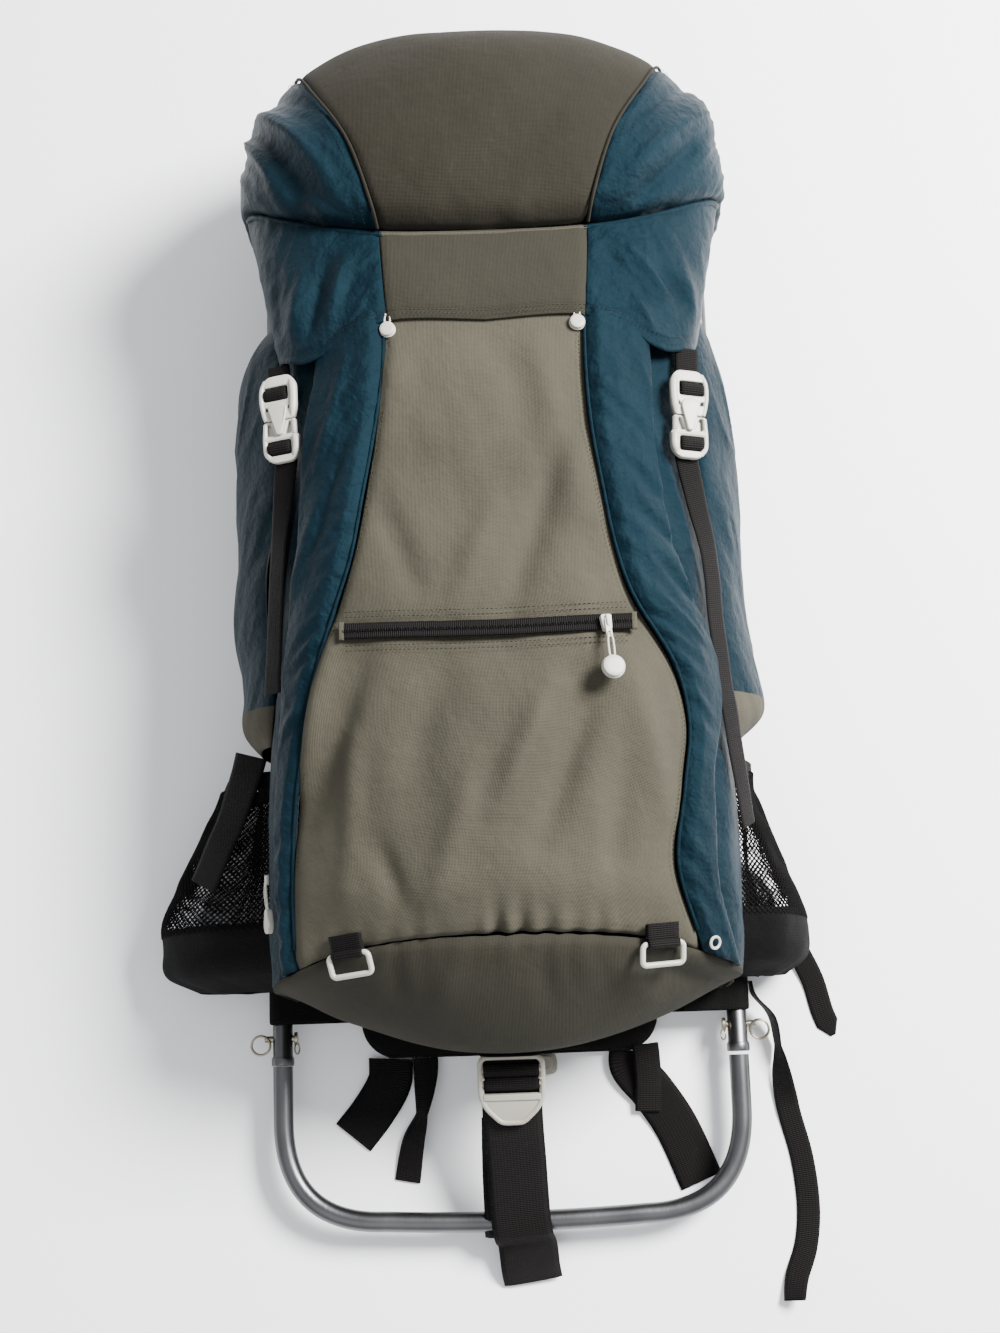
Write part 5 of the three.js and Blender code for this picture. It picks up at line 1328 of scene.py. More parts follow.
def lockShapes():
    w, h = lock["width"] / 2 - lock["wire"], lock["length"] / 2 - lock["wire"]
    rim = (arcPoints(-w + 6, h - 6, 6, 180, 90, 7) + arcPoints(w - 6, h - 6, 6, 90, 0, 7)
           + [(w, 4), (w - 0.6, -6), (w - 4.6, -15), (w - 11.5, -22.5), (8.5, -h + 0.6), (0, -h), (-8.5, -h + 0.6),
              (11.5 - w, -22.5), (4.6 - w, -15), (0.6 - w, -6), (-w, 4)])
    rim.append(rim[0])
    loop = smoothLine([(x, y, 0.6) for x, y in rim], 90)[:-1]
    shapes = [tubeShape(loop, lock["wire"], 12, closed=True, out=upward(len(loop)))]
    tongue = bezierRing((-23.5, -4.5, 1.5), (23.5, -4.5, 1.5), (23, -12, 6), (14.5, -23, 10), (0, -28.4, 12),
                        (-14.5, -23, 10), (-23, -12, 6))
    shapes.append(plateShape(tongue, [], 3.4, 1.0))
    shapes.append(shifted(blankShape(5.0, 1.2, (-23.8, -3.2, 1), (23.8, -3.2, 1), (23.8, -8.4, 1), (-23.8, -8.4, 1)),
                          z=0.8))
    for x in (-24.2, 24.2):
        shapes.append(tubeShape([[x, y, 0.4] for y in np.linspace(-3, 21, 5)], 1.5, 10))
        shapes.append(tubeShape([[x, y, 1.6] for y in (9.2, 10.6)], 2.1, 10))
    for y in (5.2, 16.6):
        shapes.append(tubeShape([[x, y, 0.2] for x in np.linspace(-25, 25, 5)], 2.2, 12))
    return shapes


def lockWebbing(y, reach):
    angle = np.radians(np.linspace(-40, 220, 24))
    points = np.column_stack([0 * angle, y + reach * np.cos(angle), 0.3 + 3.4 * np.sin(angle)])
    return stripShape(points, np.column_stack([0 * angle, np.cos(angle), np.sin(angle)]), 46.0, 1.8, across=18,
                      crown=0.1)


lockSeat = np.array([0.0, lock["y"], lock["z"]]), lockForward, lockOut
addPart("tension_lock_part", lockShapes(), lockSeat, beigePlastic, ["tension_lock"], sharp=55)
flatWrap = np.array([[0, y, -1.4 + 0.5 * math.sin(y)] for y in np.linspace(-2, 27, 20)])
wraps = [lockWebbing(5.2, 4.6), lockWebbing(16.6, 4.8), stripShape(flatWrap, upward(20), 46.0, 1.6, across=18)]
addPart("tension_lock_webbing", wraps, lockSeat, strapWebbing)

wrapReach = tube["radius"] + webbing["thickness"] / 2 + clearance * 4
barY = tube["end"] - tube["bow"] / 2
underLock = lock["thickness"] / 2 + webbing["thickness"] / 2 + 3 * clearance
slope = -0.30 / 0.95
bottomSeat = bottomPanel(0.5, 0.58)
centreStops = [
    (0, bottomSeat[1] - webbing["thickness"] / 2 - 2 * clearance, bottomSeat[2], (0, -1, 0.2)),
    (0, lock["y"] + lock["length"] * 0.5 + 0.6, lock["z"] - slope * lock["length"] * 0.5 - underLock - 3,
     (0, -0.5, 0.9)),
    (0, lock["y"] + lock["length"] * 0.25, lock["z"] - slope * lock["length"] * 0.25 - underLock - 1.4,
     (0, -0.3, 0.95)),
    (0, lock["y"] - lock["length"] * 0.35, lock["z"] + slope * lock["length"] * 0.35 - underLock, (0, -0.3, 0.95)),
    (2, lock["y"] - 62, 54, (0, -0.35, 0.93)),
    (4, barY + 6, tubeZ + wrapReach + 1, (0, -0.25, 0.97)),
    (6, barY - wrapReach * 0.8, tubeZ + wrapReach * 0.7, (0, -0.7, 0.7)),
    (9, barY - wrapReach - 6, tubeZ - 4, (0, -0.9, 0.5)), (11, barY - 36, 12, (0, -0.4, 0.9)),
    (13, barY - 48, 4, (0, -0.3, 0.95)),
]
addStrap("centre_strap_webbing", [((x, y, z), face) for x, y, z, face in centreStops], webbing["centre"],
         ["centre_strap"], 130, flutter=1.2, crown=0.5)

# Second turn of the wide strap, seen at its left where it goes round the bar
underStrap = [((-9, lock["y"] - 22, 70), (0, -0.3, 0.95)), ((-10, lock["y"] - 66, 44), (0, -0.35, 0.93)),
              ((-9.5, barY + 9, tubeZ + wrapReach - 1.6), (0, -0.2, 0.97)),
              ((-9.5, barY - wrapReach + 1.2, tubeZ), (0, -1, 0)),
              ((-9.5, barY + 4, tubeZ - wrapReach + 1.6), (0, 0.2, -0.97))]
addStrap("centre_strap_inner_webbing", underStrap, 34, [], 70)
print("tension lock made")

# Loose webbing on the floor, from the pads and the back band: x, y, height and roll of each stop
leftPad, rightPad = (-pad["lumbarHalf"], pad["lumbarFoot"]), (pad["lumbarHalf"], pad["lumbarFoot"])
rightBand, rightPocket = (tube["halfWidth"], pad["bandFoot"]), (bag["halfWidth"], net["foot"])
floorTails = {
    "belt_tail_left": (leftPad, 38, [(24, -0.5, 7, 0), (22.5, -20, 5.5, 0), (8, -44, 2.4, 0), (-10, -66, 1.4, 0)]),
    "twisted_tail_left": (leftPad, 22, [(54, -0.5, 8, 0), (54, -16, 9, 20), (50, -48, 12, 60), (42, -72, 10, 25),
                                        (36, -104, 1.2, 0)]),
    "belt_tail_right": (rightPad, 38, [(-24, -0.3, 7, 0), (-23.5, -14, 6, 0), (-6, -36, 4, 0), (13, -66, 1.4, 0),
                                       (32, -112, 1.2, 0)]),
    "long_tail_right": (rightBand, 20, [(13.2, 24, 27, 90), (16, 12, 26, 88), (31, -6, 19, 80), (36, -31, 12, 80),
                                        (38, -56, 10.5, 40), (43, -86, 2.2, 0), (52, -126, 1, 0), (55, -166, 1, 0),
                                        (51, -198, 1.2, 0), (41, -224, 4.6, 15), (37, -242, 12, 35)]),
    "pointed_tail_right": (rightPocket, 20, [(61.4, 25, 4.4, 0), (74, -3, 1.6, 0), (81, -31, 1, 0), (89, -51, 1, 0)]),
}
for name, (corner, width, stops) in floorTails.items():
    points = np.array([(corner[0] + x, corner[1] + y, z) for x, y, z, _ in stops])
    ahead = unit(np.gradient(points, axis=0))
    places = []
    for point, tangent, (_, _, _, roll) in zip(points, ahead, stops):
        level = unit(np.array([tangent[1], -tangent[0], 0.0]))
        turn = Matrix.Rotation(math.radians(roll), 3, Vector(tangent))
        level = np.array(turn @ Vector(level))
        places.append((point, np.cross(level, tangent)))
    taper = None
    if name == "pointed_tail_right":
        taper = np.interp(np.linspace(0, 1, 60), [0, 0.86, 1], [1, 1, 0.25])
    addStrap(f"{name}_webbing", places, width, [name], 60 if name == "pointed_tail_right" else 90, taper=taper,
             crown=0.15)
flap = [((116, -340, 15.4), (0, 0.1, 1)), ((117, -350, 14.5), (0.1, 0.2, 1)), ((118, -372, 9.5), (0.1, 0.2, 1)),
        ((117, -397, 6), (0, 0.1, 1))]
addStrap("belt_fold_right_webbing", flap, 23, [], 50, flutter=1.0)
print("floor webbing made")


# Mesh bottle pockets: a real net above a cloth cup, bound along the mouth
netLook = {"columns": 96, "rows": 52, "from": 0.27, "to": 0.95, "strand": 1.6, "cupTo": 0.30, "bindFrom": 0.925}


def netGrid(side, low, start, end, columns, rows, bulge=0.0):
    grid = np.stack([netRoute(side, low, v, columns + 1) for v in np.linspace(start, end, rows + 1)])
    if bulge:
        u, v = np.meshgrid(np.linspace(0, 1, columns + 1), np.linspace(start, end, rows + 1))
        soft = bulge * (noise(u * 7, v * 9, 5) - 0.45) * np.sin(np.pi * u)
        grid = grid + surfaceNormals(grid) * soft[..., None]
    grid[..., 2] = np.maximum(grid[..., 2], 0.9)
    return grid


def addNet(side, low, sign):
    flip = np.array([sign, 1, 1])
    look = netLook
    grid = netGrid(side, low, look["from"], look["to"], look["columns"], look["rows"], 5.0) * flip
    verts, faces, index = [], [], {}

    def node(i, j):
        if (i, j) not in index:
            index[(i, j)] = len(verts)
            verts.append(grid[j, i])
        return index[(i, j)]

    for j in range(1, look["rows"]):
        for i in range(1, look["columns"]):
            if (i + j) % 2:
                faces.append((node(i - 1, j), node(i, j - 1), node(i + 1, j), node(i, j + 1)))
    verts = np.array(verts)
    piece = addShape(f"mesh_pocket_{side}_net", (verts, faces, verts[:, :2]), blackCloth, [f"mesh_pocket_{side}"])
    wire = piece.modifiers.new("strands", "WIREFRAME")
    wire.thickness, wire.use_even_offset, wire.use_boundary = look["strand"] / 1000, False, True
    cup = netGrid(side, low, 0.0, look["cupTo"], 72, 22, 5.0) * flip
    binding = netGrid(side, low, look["bindFrom"], 1.0, 72, 6) * flip
    for label, part, wall in (("cup", cup, 1.4), ("binding", binding, 2.2)):
        rows, columns = part.shape[0] - 1, part.shape[1] - 1
        order = part if sign > 0 else part[:, ::-1]
        flat = np.stack(np.meshgrid(np.arange(columns + 1) * 2.6, np.arange(rows + 1) * 2.4), -1)
        addSheet(f"mesh_pocket_{side}_{label}", order.reshape(-1, 3), gridFaces(rows, columns), blackCloth, (), flat,
                 wall)


addNet("right", "lowRight", 1)
addNet("left", "lowLeft", -1)

netStrapStops = [(0.10, 1.08), (0.13, 0.94), (0.16, 0.78), (0.19, 0.62), (0.22, 0.48)]
places = []
for u, v in netStrapStops:
    row = netRoute("left", "lowLeft", min(v, 1.0), 101)
    k = int(round(u * 100))
    out = unit(np.cross(row[k + 1] - row[k], np.array([0.0, 1.0, 0.0])))
    spot = row[k] + out * webbing["thickness"] * 1.5 + np.array([0, max(v - 1, 0) * net["length"], 0])
    places.append((spot * np.array([-1, 1, 1]), out * np.array([-1, 1, 1])))
addStrap("net_strap_left_webbing", places, webbing["belt"] - 6, ["net_strap_left"], 60, flutter=2.0)
print("mesh pockets made")


# Zip: tape, raised coil, bound ends and the stitched bed
zipSeat = {"y": -21, "left": -122, "right": 109, "width": 13, "tape": 1.2}
stitchLook = {"pitch": 3.6, "dash": 2.5, "wide": 0.55, "high": 0.5, "seamLift": 1.2, "panelLift": 0.7}


def onZip(x, v):
    u = (zipSeat["right"] - x) / (zipSeat["right"] - zipSeat["left"])
    y = zipSeat["y"] - 4 * math.sin(math.pi * min(max(u, 0), 1)) + (0.5 - v) * zipSeat["width"]
    return bagAtX(x, (y - bag["foot"]) / bag["length"]) + np.array([0, 0, zipSeat["tape"] + clearance * 5])


# Stitches lie along a line of points: each one is a short flat bead of thread
def stitchShape(points, out):
    look = stitchLook
    points = np.asarray(points, float)
    run = runAlong(points)
    count = int(run[-1] / look["pitch"])
    middle = (np.arange(count) + 0.5) * look["pitch"]
    at = lambda place, rows: np.column_stack([np.interp(place, run, rows[:, k]) for k in range(3)])
    half = look["dash"] / 2
    start, stop, face = at(middle - half, points), at(middle + half, points), unit(at(middle, np.asarray(out, float)))
    side = np.cross(unit(stop - start), face) * look["wide"] / 2
    lift = face * look["high"]
    body = start * 0.28 + stop * 0.72, start * 0.72 + stop * 0.28
    corners = [start, body[1] - side + lift * 0.3, body[1] + lift, body[1] + side + lift * 0.3,
               body[0] - side + lift * 0.3, body[0] + lift, body[0] + side + lift * 0.3, stop]
    verts = np.stack(corners, 1).reshape(-1, 3)
    faces = []
    for k in range(count):
        a = k * 8
        faces += [(a, a + 2, a + 1), (a, a + 3, a + 2), (a + 1, a + 2, a + 5, a + 4), (a + 2, a + 3, a + 6, a + 5),
                  (a + 4, a + 5, a + 7), (a + 5, a + 6, a + 7)]
    return verts, faces, verts[:, :2]


def addStitches(name, lines, material):
    addShape(name, joinShapes([stitchShape(points, out) for points, out in lines]), material)


xs = np.linspace(zipSeat["left"], zipSeat["right"], 140)
tapePoints = np.array([onZip(x, 0.5) for x in xs])
tapeFace = np.array([onFront(x, zipSeat["y"], 0)[1] for x in xs])
addShape("zip_tape_cloth", stripShape(tapePoints, tapeFace, zipSeat["width"], 1.2, crown=0.1), strapWebbing,
         ["zip_tape"])
coilX = np.arange(zipSeat["left"] + 2, zipSeat["right"] - 2, 0.42)
coilRow = np.array([onZip(x, 0.5) for x in coilX])
turnAngle = np.arange(len(coilX)) * (np.pi / 2.5)
coilRow = coilRow + np.column_stack([0 * coilX, 1.35 * np.cos(turnAngle), 0.95 + 0.55 * np.sin(turnAngle)])
addShape("zip_coil", tubeShape(coilRow, 0.32, 5), threadBlack)
for label, x in (("left", zipSeat["left"] + 1.5), ("right", zipSeat["right"] - 1.5)):
    stub = np.array([onZip(x, v) for v in np.linspace(-0.05, 1.05, 8)]) + np.array([0, 0, 0.9])
    addShape(f"zip_end_{label}", stripShape(stub, upward(8), 4.2, 1.2, crown=0.3), greyCloth)

slideSpot, slideOut = onFront(84, zipSeat["y"] - 4, 6.6)
bodyShape = [shifted(blankShape(2.4, 0.8, (-4.6, 6.6, 2.4), (4.6, 6.6, 2.4), (3.4, -6.4, 2), (-3.4, -6.4, 2)), z=z)
             for z in (-2.0, 1.4)]
bodyShape.append(cordShape([(0, 5.4, 2.2), (0, 3, 4.2), (0, -2.4, 4.4), (0, -4.8, 2.4)], 16, 1.1, 10))
bodyShape.append(shifted(plateShape(bezierRing((-2.2, 3, 1.4), (2.2, 3, 1.4), (2.6, -13, 1.8), (-2.6, -13, 1.8)),
                                    [bezierRing((-1, -8.4, .5), (1, -8.4, .5), (1, -10.8, .5), (-1, -10.8, .5))], 1.6,
                                    0.5), z=3.4))
cords = [cordShape([(x * 0.4, -9.4, 4.2), (x, -15, 4.0), (x * 1.1, -24, 2.6), (x * 0.8, -31, 1.8)], 26, 0.9, 8)
         for x in (-1.9, 1.9)]


def knobShape(radius, thickness, x, y, z):  # two stacked rounded discs with a fine groove between
    shapes = []
    for low, high, share in ((-thickness / 2, -0.25, 1.0), (0.1, thickness / 2, 0.93)):
        r = radius * share
        rows = np.array([[0, 0, low], [0, 0, low + 0.01], [0, 0, low + 0.5], [0, 0, high - 0.7], [0, 0, high - 0.2],
                         [0, 0, high]])
        rows = rows + np.array([x, y, z])
        shapes.append(tubeShape(rows, np.array([0.2, r * 0.86, r, r, r * 0.93, r * 0.55]), 30,
                                out=np.tile([0.0, 1, 0], (6, 1))))
    return shapes


knob = knobShape(9.2, 6.0, 0, -36, 1.0)
addPart("zip_slider_part", bodyShape + cords + knob, (slideSpot, (-0.08, 1, 0), slideOut), palePlastic,
        ["zip_slider"], sharp=50)

for side, x in (("left", -79), ("right", 73)):
    hemAtX = hemY + apron["length"] * float(along(hemLine, "y", abs(x) / apron["hemHalf"]))
    spot, out = onFront(x, hemAtX - 6.5 - 3 * clearance, 2 + 2 * clearance)
    loop = [cordShape([(d, 3, 0.6), (d * 1.4, 8, 0.4), (d, 14, -0.4)], 12, 0.8, 8) for d in (-1.6, 1.6)]
    addPart(f"hem_pull_{side}_part", knobShape(6.6, 5.0, 0, 0, 0) + loop, (spot, (0, 1, 0), out), palePlastic,
            [f"hem_pull_{side}"], sharp=50)

pullSpot, pullOut, _ = onBag(-1, 0.60, 0.10, 3.4)
drop = bezierRing((-3.2, -24, 3), (3.2, -24, 3), (8.2, -37, 6), (4, -43.5, 6), (-4, -43.5, 6), (-8.2, -37, 6))
pullHead = blankShape(2.6, 0.8, (-3.6, 3, 1.5), (3.6, 3, 1.5), (3, -5, 1.5), (-3, -5, 1.5))
pullShapes = [plateShape(drop, [], 5.2, 0.9), shifted(pullHead, z=0.6)]
pullShapes += [cordShape([(x * 0.6, -3, 1.6), (x * 1.3, -12, 1.8), (x * 0.9, -26, 0.6)], 22, 1.0, 8)
               for x in (-2.0, 2.0)]
addPart("corner_pull_part", pullShapes, (pullSpot, (0.05, 1, 0), pullOut), palePlastic, ["corner_pull"], sharp=50)
ringSpot, ringOut, ringForward = onBag(1, 0.445, 0.012, 6.2)
addShape("corner_ring_part", seated(tubeShape(ringPath((0, 0, 0), 4.5, (1, 0, 0), (0, 1, 0), 32), 1.2, 10,
                                              closed=True), ringSpot,
         ringForward, ringOut), palePlastic, ["corner_ring"])

# Ladder loops and their webbing tabs
loopLook = {"width": 38, "height": 21, "bar": 4.5, "tab": 18}
for side, sign, turn, lean in (("left", -1, 0.31, 0.10), ("right", 1, 0.30, -0.10)):
    look = loopLook
    under = look["bar"] / 2 + webbing["thickness"] / 2 + clearance
    spot, out, forward = onBag(sign, turn, 0.006, under + webbing["thickness"] / 2 + 4 * clearance)
    forward = forward + np.array([lean * sign, 0, 0])
    hang = -look["tab"] / 2 - look["height"] / 2 + look["bar"] + 1
    w, h = look["width"] / 2 - look["bar"] / 2, look["height"] / 2 - look["bar"] / 2
    ring = np.array([(x, y, 0) for x, y in roundedRing(2 * w, 2 * h, 3.4, 0, hang)])
    shapes = [tubeShape(smoothLine(np.vstack([ring, ring[:1]]), 72)[:-1], look["bar"] / 2, 14, closed=True,
                        out=upward(71))]
    addPart(f"ladder_loop_{side}_part", shapes, (spot, forward, out), palePlastic, [f"ladder_loop_{side}"], sharp=55)
    wide = look["width"] - 2 * look["bar"] - 2
    path = [(0, look["tab"] / 2, -under), (0, -look["tab"] / 2 + 5, -under),
            (0, -look["tab"] / 2 + 1.2, -under + 0.6)]
    fold = stripShape(smoothLine(path, 16), upward(16), wide, webbing["thickness"], crown=0.1)
    y = hang + h
    angle = np.radians(np.linspace(200, -10, 20))
    over = np.column_stack([0 * angle, y - 3.0 * np.cos(angle) * -1, 3.1 * np.sin(angle)])
    roll = stripShape(over, np.column_stack([0 * angle, np.cos(angle), np.sin(angle)]), wide, 1.4, crown=0.1)
    top = stripShape([[0, t, -under + 2.4 + 0.04 * (y + 2 - t)] for t in np.linspace(y + 2, look["tab"] / 2 + 1, 10)],
                     upward(10), wide, 1.4, crown=0.1)
    addPart(f"loop_tab_{side}_webbing", [fold, roll, top], (spot, forward, out), strapWebbing, [f"loop_tab_{side}"])
print("zip, pulls and loops made")


# Ribbed back band round the rails
def addBand():
    radius = tube["radius"] + clearance + pad["bandThickness"] / 2
    half = math.pi / 2
    arc = lambda sign, start, end: [(sign * tube["halfWidth"] + radius * math.cos(a), tubeZ + radius * math.sin(a))
                                    for a in np.linspace(start, end, 19)]
    lapX = tube["halfWidth"] - pad["lap"]
    route = ([(lapX, tubeZ + radius), (lapX + 22, tubeZ + radius)] + arc(1, half, -half)
             + [(x, tubeZ - radius) for x in np.linspace(160, -160, 9)] + arc(-1, -half, -3 * half)
             + [(-lapX - 22, tubeZ + radius), (-lapX, tubeZ + radius)])
    line = np.array([(x, 0, z) for x, z in route], float)
    run = runAlong(line)
    columns, rows = 260, 64
    even = np.linspace(0, run[-1], columns + 1)
    line = np.column_stack([np.interp(even, run, line[:, k]) for k in range(3)])
    up = np.cross(unit(np.gradient(line, axis=0)), np.array([0, 1.0, 0]))
    v = np.linspace(0, 1, rows + 1)
    rib = 0.5 * np.abs(np.sin(v * pad["bandLength"] / 9.0 * np.pi)) ** 0.6 * np.clip(np.minimum(v, 1 - v) * 14, 0, 1)
    rib = rib - 0.35 * np.exp(-((np.minimum(v, 1 - v) * pad["bandLength"] - 6) / 1.0) ** 2)
    outer = pad["bandThickness"] / 2 - 0.45
    grid = line[None] + up[None] * (outer + rib)[:, None, None] * -1
    grid[..., 1] = (pad["bandFoot"] + v * pad["bandLength"])[:, None]
    inner = line[None] + up[None] * (outer * np.clip(np.minimum(v, 1 - v) * 60, 0, 1))[:, None, None]
    inner[..., 1] = grid[..., 1]
    count = (columns + 1) * (rows + 1)
    verts = np.concatenate([grid.reshape(-1, 3), inner.reshape(-1, 3)])
    faces = list(gridFaces(rows, columns)) + [tuple(i + count for i in f[::-1]) for f in gridFaces(rows, columns)]
    w = columns + 1
    for i in range(columns):
        faces += [(i + 1, i, i + count, i + 1 + count),
                  (rows * w + i, rows * w + i + 1, rows * w + i + 1 + count, rows * w + i + count)]
    for j in range(rows):
        faces += [(j * w, (j + 1) * w, (j + 1) * w + count, j * w + count),
                  ((j + 1) * w - 1 + w, (j + 1) * w - 1, (j + 1) * w - 1 + count, (j + 1) * w - 1 + w + count)]
    flat = np.stack(np.meshgrid(even, v * pad["bandLength"]), -1).reshape(-1, 2)
    return addShape("back_band_cloth", (verts, faces, np.concatenate([flat, flat])), blackCloth, ["back_band"],
                    sharp=40)


addBand()


# Padded harness: each cushion is a sewn bag swollen by a cloth simulation, flat where it rests on the floor
wing = {"x": 68, "width": 112, "length": 150, "corner": 26, "seamHalf": 50}
shoulder = {"x": 70, "length": 286, "halfWidth": 32, "pastBar": 13}
shoulderFoot = tube["upperBar"] + shoulder["pastBar"] - shoulder["length"]


def roundedOutline(width, height, radius, x, y):
    return [(a + x, b + y) for a, b in roundedRing(width, height, radius)]


def shoulderRoute(count):
    length = shoulder["length"]
    stops = [(0, length, 0), (6, length * 0.75, 0), (26, length * 0.5, 0), (36, length * 0.25, 0), (26, 0, 0)]
    return smoothLine(stops, count) + np.array([shoulder["x"], shoulderFoot, 0.0])


def shoulderOutline():
    route = shoulderRoute(40)
    t = np.linspace(0, 1, len(route))
    width = shoulder["halfWidth"] * (1 - 0.35 * np.abs(2 * t - 0.8) ** 3)
    left = [(p[0] - w, p[1]) for p, w in zip(route, width)]
    return left + [(p[0] + w, p[1]) for p, w in zip(route, width)][::-1]


def cushionMesh(outline, thickness):
    ring = [Vector((x / 1000, y / 1000, 0)) for x, y in outline]
    work = bmesh.new()
    low = [work.verts.new(p) for p in ring]
    work.faces.new(low)
    top = bmesh.ops.extrude_face_region(work, geom=list(work.faces))["geom"]
    for vert in top:
        if isinstance(vert, bmesh.types.BMVert):
            vert.co.z = thickness / 1000
    bmesh.ops.recalc_face_normals(work, faces=work.faces)
    mesh = bpy.data.meshes.new("cushion")
    work.to_mesh(mesh)
    work.free()
    return mesh


padLook = {"voxel": 5.5, "pressure": 4.0, "frames": 20, "swell": 2.6}


def addCushion(name, outline, thickness, replaces, seams=()):
    body = bpy.data.objects.new(name, cushionMesh(outline, thickness - 2 * padLook["swell"] * 0.6))
    bpy.context.scene.collection.objects.link(body)
    bpy.context.view_layer.objects.active = body
    body.select_set(True)
    remesh = body.modifiers.new("skin", "REMESH")
    remesh.mode, remesh.voxel_size = "VOXEL", padLook["voxel"] / 1000
    bpy.ops.object.modifier_apply(modifier=remesh.name)
    start = np.array([v.co for v in body.data.vertices]) * 1000
    rim = body.vertex_groups.new(name="seam")
    middle = start[:, 2].mean()
    edge = np.array(outline)
    steps = np.linspace(0, 1, 5, endpoint=False)
    fine = np.concatenate([edge + (np.roll(edge, -1, axis=0) - edge) * s for s in steps])
    gap = np.array([np.min(np.hypot(fine[:, 0] - p[0], fine[:, 1] - p[1])) for p in start])
    for i, (g, z) in enumerate(zip(gap, start[:, 2])):
        if g < 4.0 and abs(z - middle) < 3.2:
            rim.add([i], 1.0, "REPLACE")
    for x0, y0, x1, y1 in seams:
        line = np.array([[x0, y0], [x1, y1]])
        ahead = unit(line[1] - line[0])
        for i, p in enumerate(start):
            local = p[:2] - line[0]
            s = np.dot(local, ahead)
            if 0 < s < np.linalg.norm(line[1] - line[0]) and abs(local[0] * ahead[1] - local[1] * ahead[0]) < 3:
                rim.add([i], 0.9, "REPLACE")
    cloth = body.modifiers.new("swell", "CLOTH")
    settings = cloth.settings
    settings.quality, settings.mass = 4, 0.2
    settings.use_pressure, settings.uniform_pressure_force = True, padLook["pressure"]
    settings.effector_weights.gravity = 0
    settings.tension_stiffness = settings.compression_stiffness = 12
    settings.shear_stiffness, settings.bending_stiffness = 4, 0.4
    settings.vertex_group_mass = "seam"
    settings.pin_stiffness = 1.0
    cloth.point_cache.frame_start, cloth.point_cache.frame_end = 1, padLook["frames"]
    for step in range(1, padLook["frames"] + 1):
        bpy.context.scene.frame_set(step)
    mesh = bpy.data.meshes.new_from_object(body.evaluated_get(bpy.context.evaluated_depsgraph_get()))
    body.modifiers.remove(cloth)
    body.data = mesh
    bpy.context.scene.frame_set(1)
    verts = np.array([v.co for v in body.data.vertices]) * 1000
    if len(verts) == len(start):
        move = verts - start
        size = np.linalg.norm(move, axis=1, keepdims=True)
        verts = start + move * np.minimum(1, padLook["swell"] / np.maximum(size, 1e-6))
    verts[:, 2] -= verts[:, 2].min()
    verts[:, 2] = np.where(verts[:, 2] < 1.0, 0.35 + 0.05 * verts[:, 2], verts[:, 2])
    offFloor = np.clip((verts[:, 2] - 4) / 6, 0, 1)
    verts[:, 2] += 0.5 * (noise(verts[:, 0] / 34, verts[:, 1] / 34, len(name)) - 0.5) * offFloor
    faces = [tuple(f.vertices) for f in body.data.polygons]
    bpy.data.objects.remove(body)
    piece = addShape(name, (verts, faces, verts[:, :2]), blackCloth, replaces)
    smoothing = piece.modifiers.new("soft", "SUBSURF")
    smoothing.levels = smoothing.render_levels = 1


lumbarMiddle = pad["lumbarFoot"] + pad["lumbarHeight"] / 2
seams = [(x, lumbarMiddle - 50, x, lumbarMiddle + 50) for x in (-40, 40)]
addCushion("lumbar_pad_cloth", roundedOutline(2 * pad["lumbarHalf"], pad["lumbarHeight"], 30, 0, lumbarMiddle),
           pad["thickness"], ["lumbar_pad"], seams)
for side, sign in sides:
    x, y = sign * wing["x"], pad["lumbarFoot"] + pad["lumbarHeight"] + wing["length"] / 2 + clearance
    seams = [(x - wing["seamHalf"], y + up, x + wing["seamHalf"], y + up) for up in (20, -25)]
    addCushion(f"hip_wing_{side}_cloth", roundedOutline(wing["width"], wing["length"], wing["corner"], x, y),
               pad["thickness"] - 1, [f"hip_wing_{side}"], seams)
    outline = [(sign * x, y) for x, y in shoulderOutline()]
    addCushion(f"shoulder_strap_{side}_cloth", outline, pad["thickness"] - 2, [f"shoulder_strap_{side}"])
    bindings = [np.array([[x, y, 6.5] for x, y in half]) for half in (outline[:40], outline[40:])]
    piping = joinShapes([tubeShape(smoothLine(line, 90), 1.6, 8) for line in bindings])
    addShape(f"shoulder_piping_{side}", piping, strapWebbing)
    x, y = sign * shoulder["x"], tube["upperBar"]
    hanger = [((x, y + 7, 10), (0, 1, 0)), ((x, y + 8, 15), (0, 1, 0)), ((x, y, 18), (0, 0.1, 1)),
              ((x, y - 8, 15), (0, -1, 0)), ((x, y - 8, 9), (0, -1, 0))]
    addStrap(f"shoulder_hanger_{side}", hanger, webbing["narrow"], [], 30)
    centre = [((sign * x, y, 0.9), (0, 0, -1)) for x, y, z in shoulderRoute(14)[1:-1]]
    addStrap(f"shoulder_webbing_{side}", centre, webbing["narrow"], [], 60)
print("harness made")

# Piping of the lumbar pad and the belt buckle behind the lock
rim = roundedOutline(2 * pad["lumbarHalf"] - 3, pad["lumbarHeight"] - 3, 29, 0, lumbarMiddle)
rimLine = smoothLine(np.array([[x, y, pad["thickness"] * 0.62] for x, y in rim + rim[:1]]), 200)[:-1]
addShape("lumbar_piping", tubeShape(rimLine, 1.7, 8, closed=True), strapWebbing)
beltSpot = np.array([13, pad["lumbarFoot"] - 9 - clearance, 5.5])
beltOutline = bezierRing((-27, 9, 7), (27, 9, 7), (27, -9, 7), (-27, -9, 7))
beltShapes = [shifted(plateShape(beltOutline, [], 6.4, 0.9), z=-2.1),
              shifted(blankShape(4.6, 0.9, (-23, 7, 5), (23, 7, 5), (23, -5.5, 6), (-23, -5.5, 6)), z=2.6)]
beltShapes += [tubeShape([[x, y, 4.7] for x in np.linspace(-14, 14, 5)], 0.7, 8) for y in (-3, 0.4)]
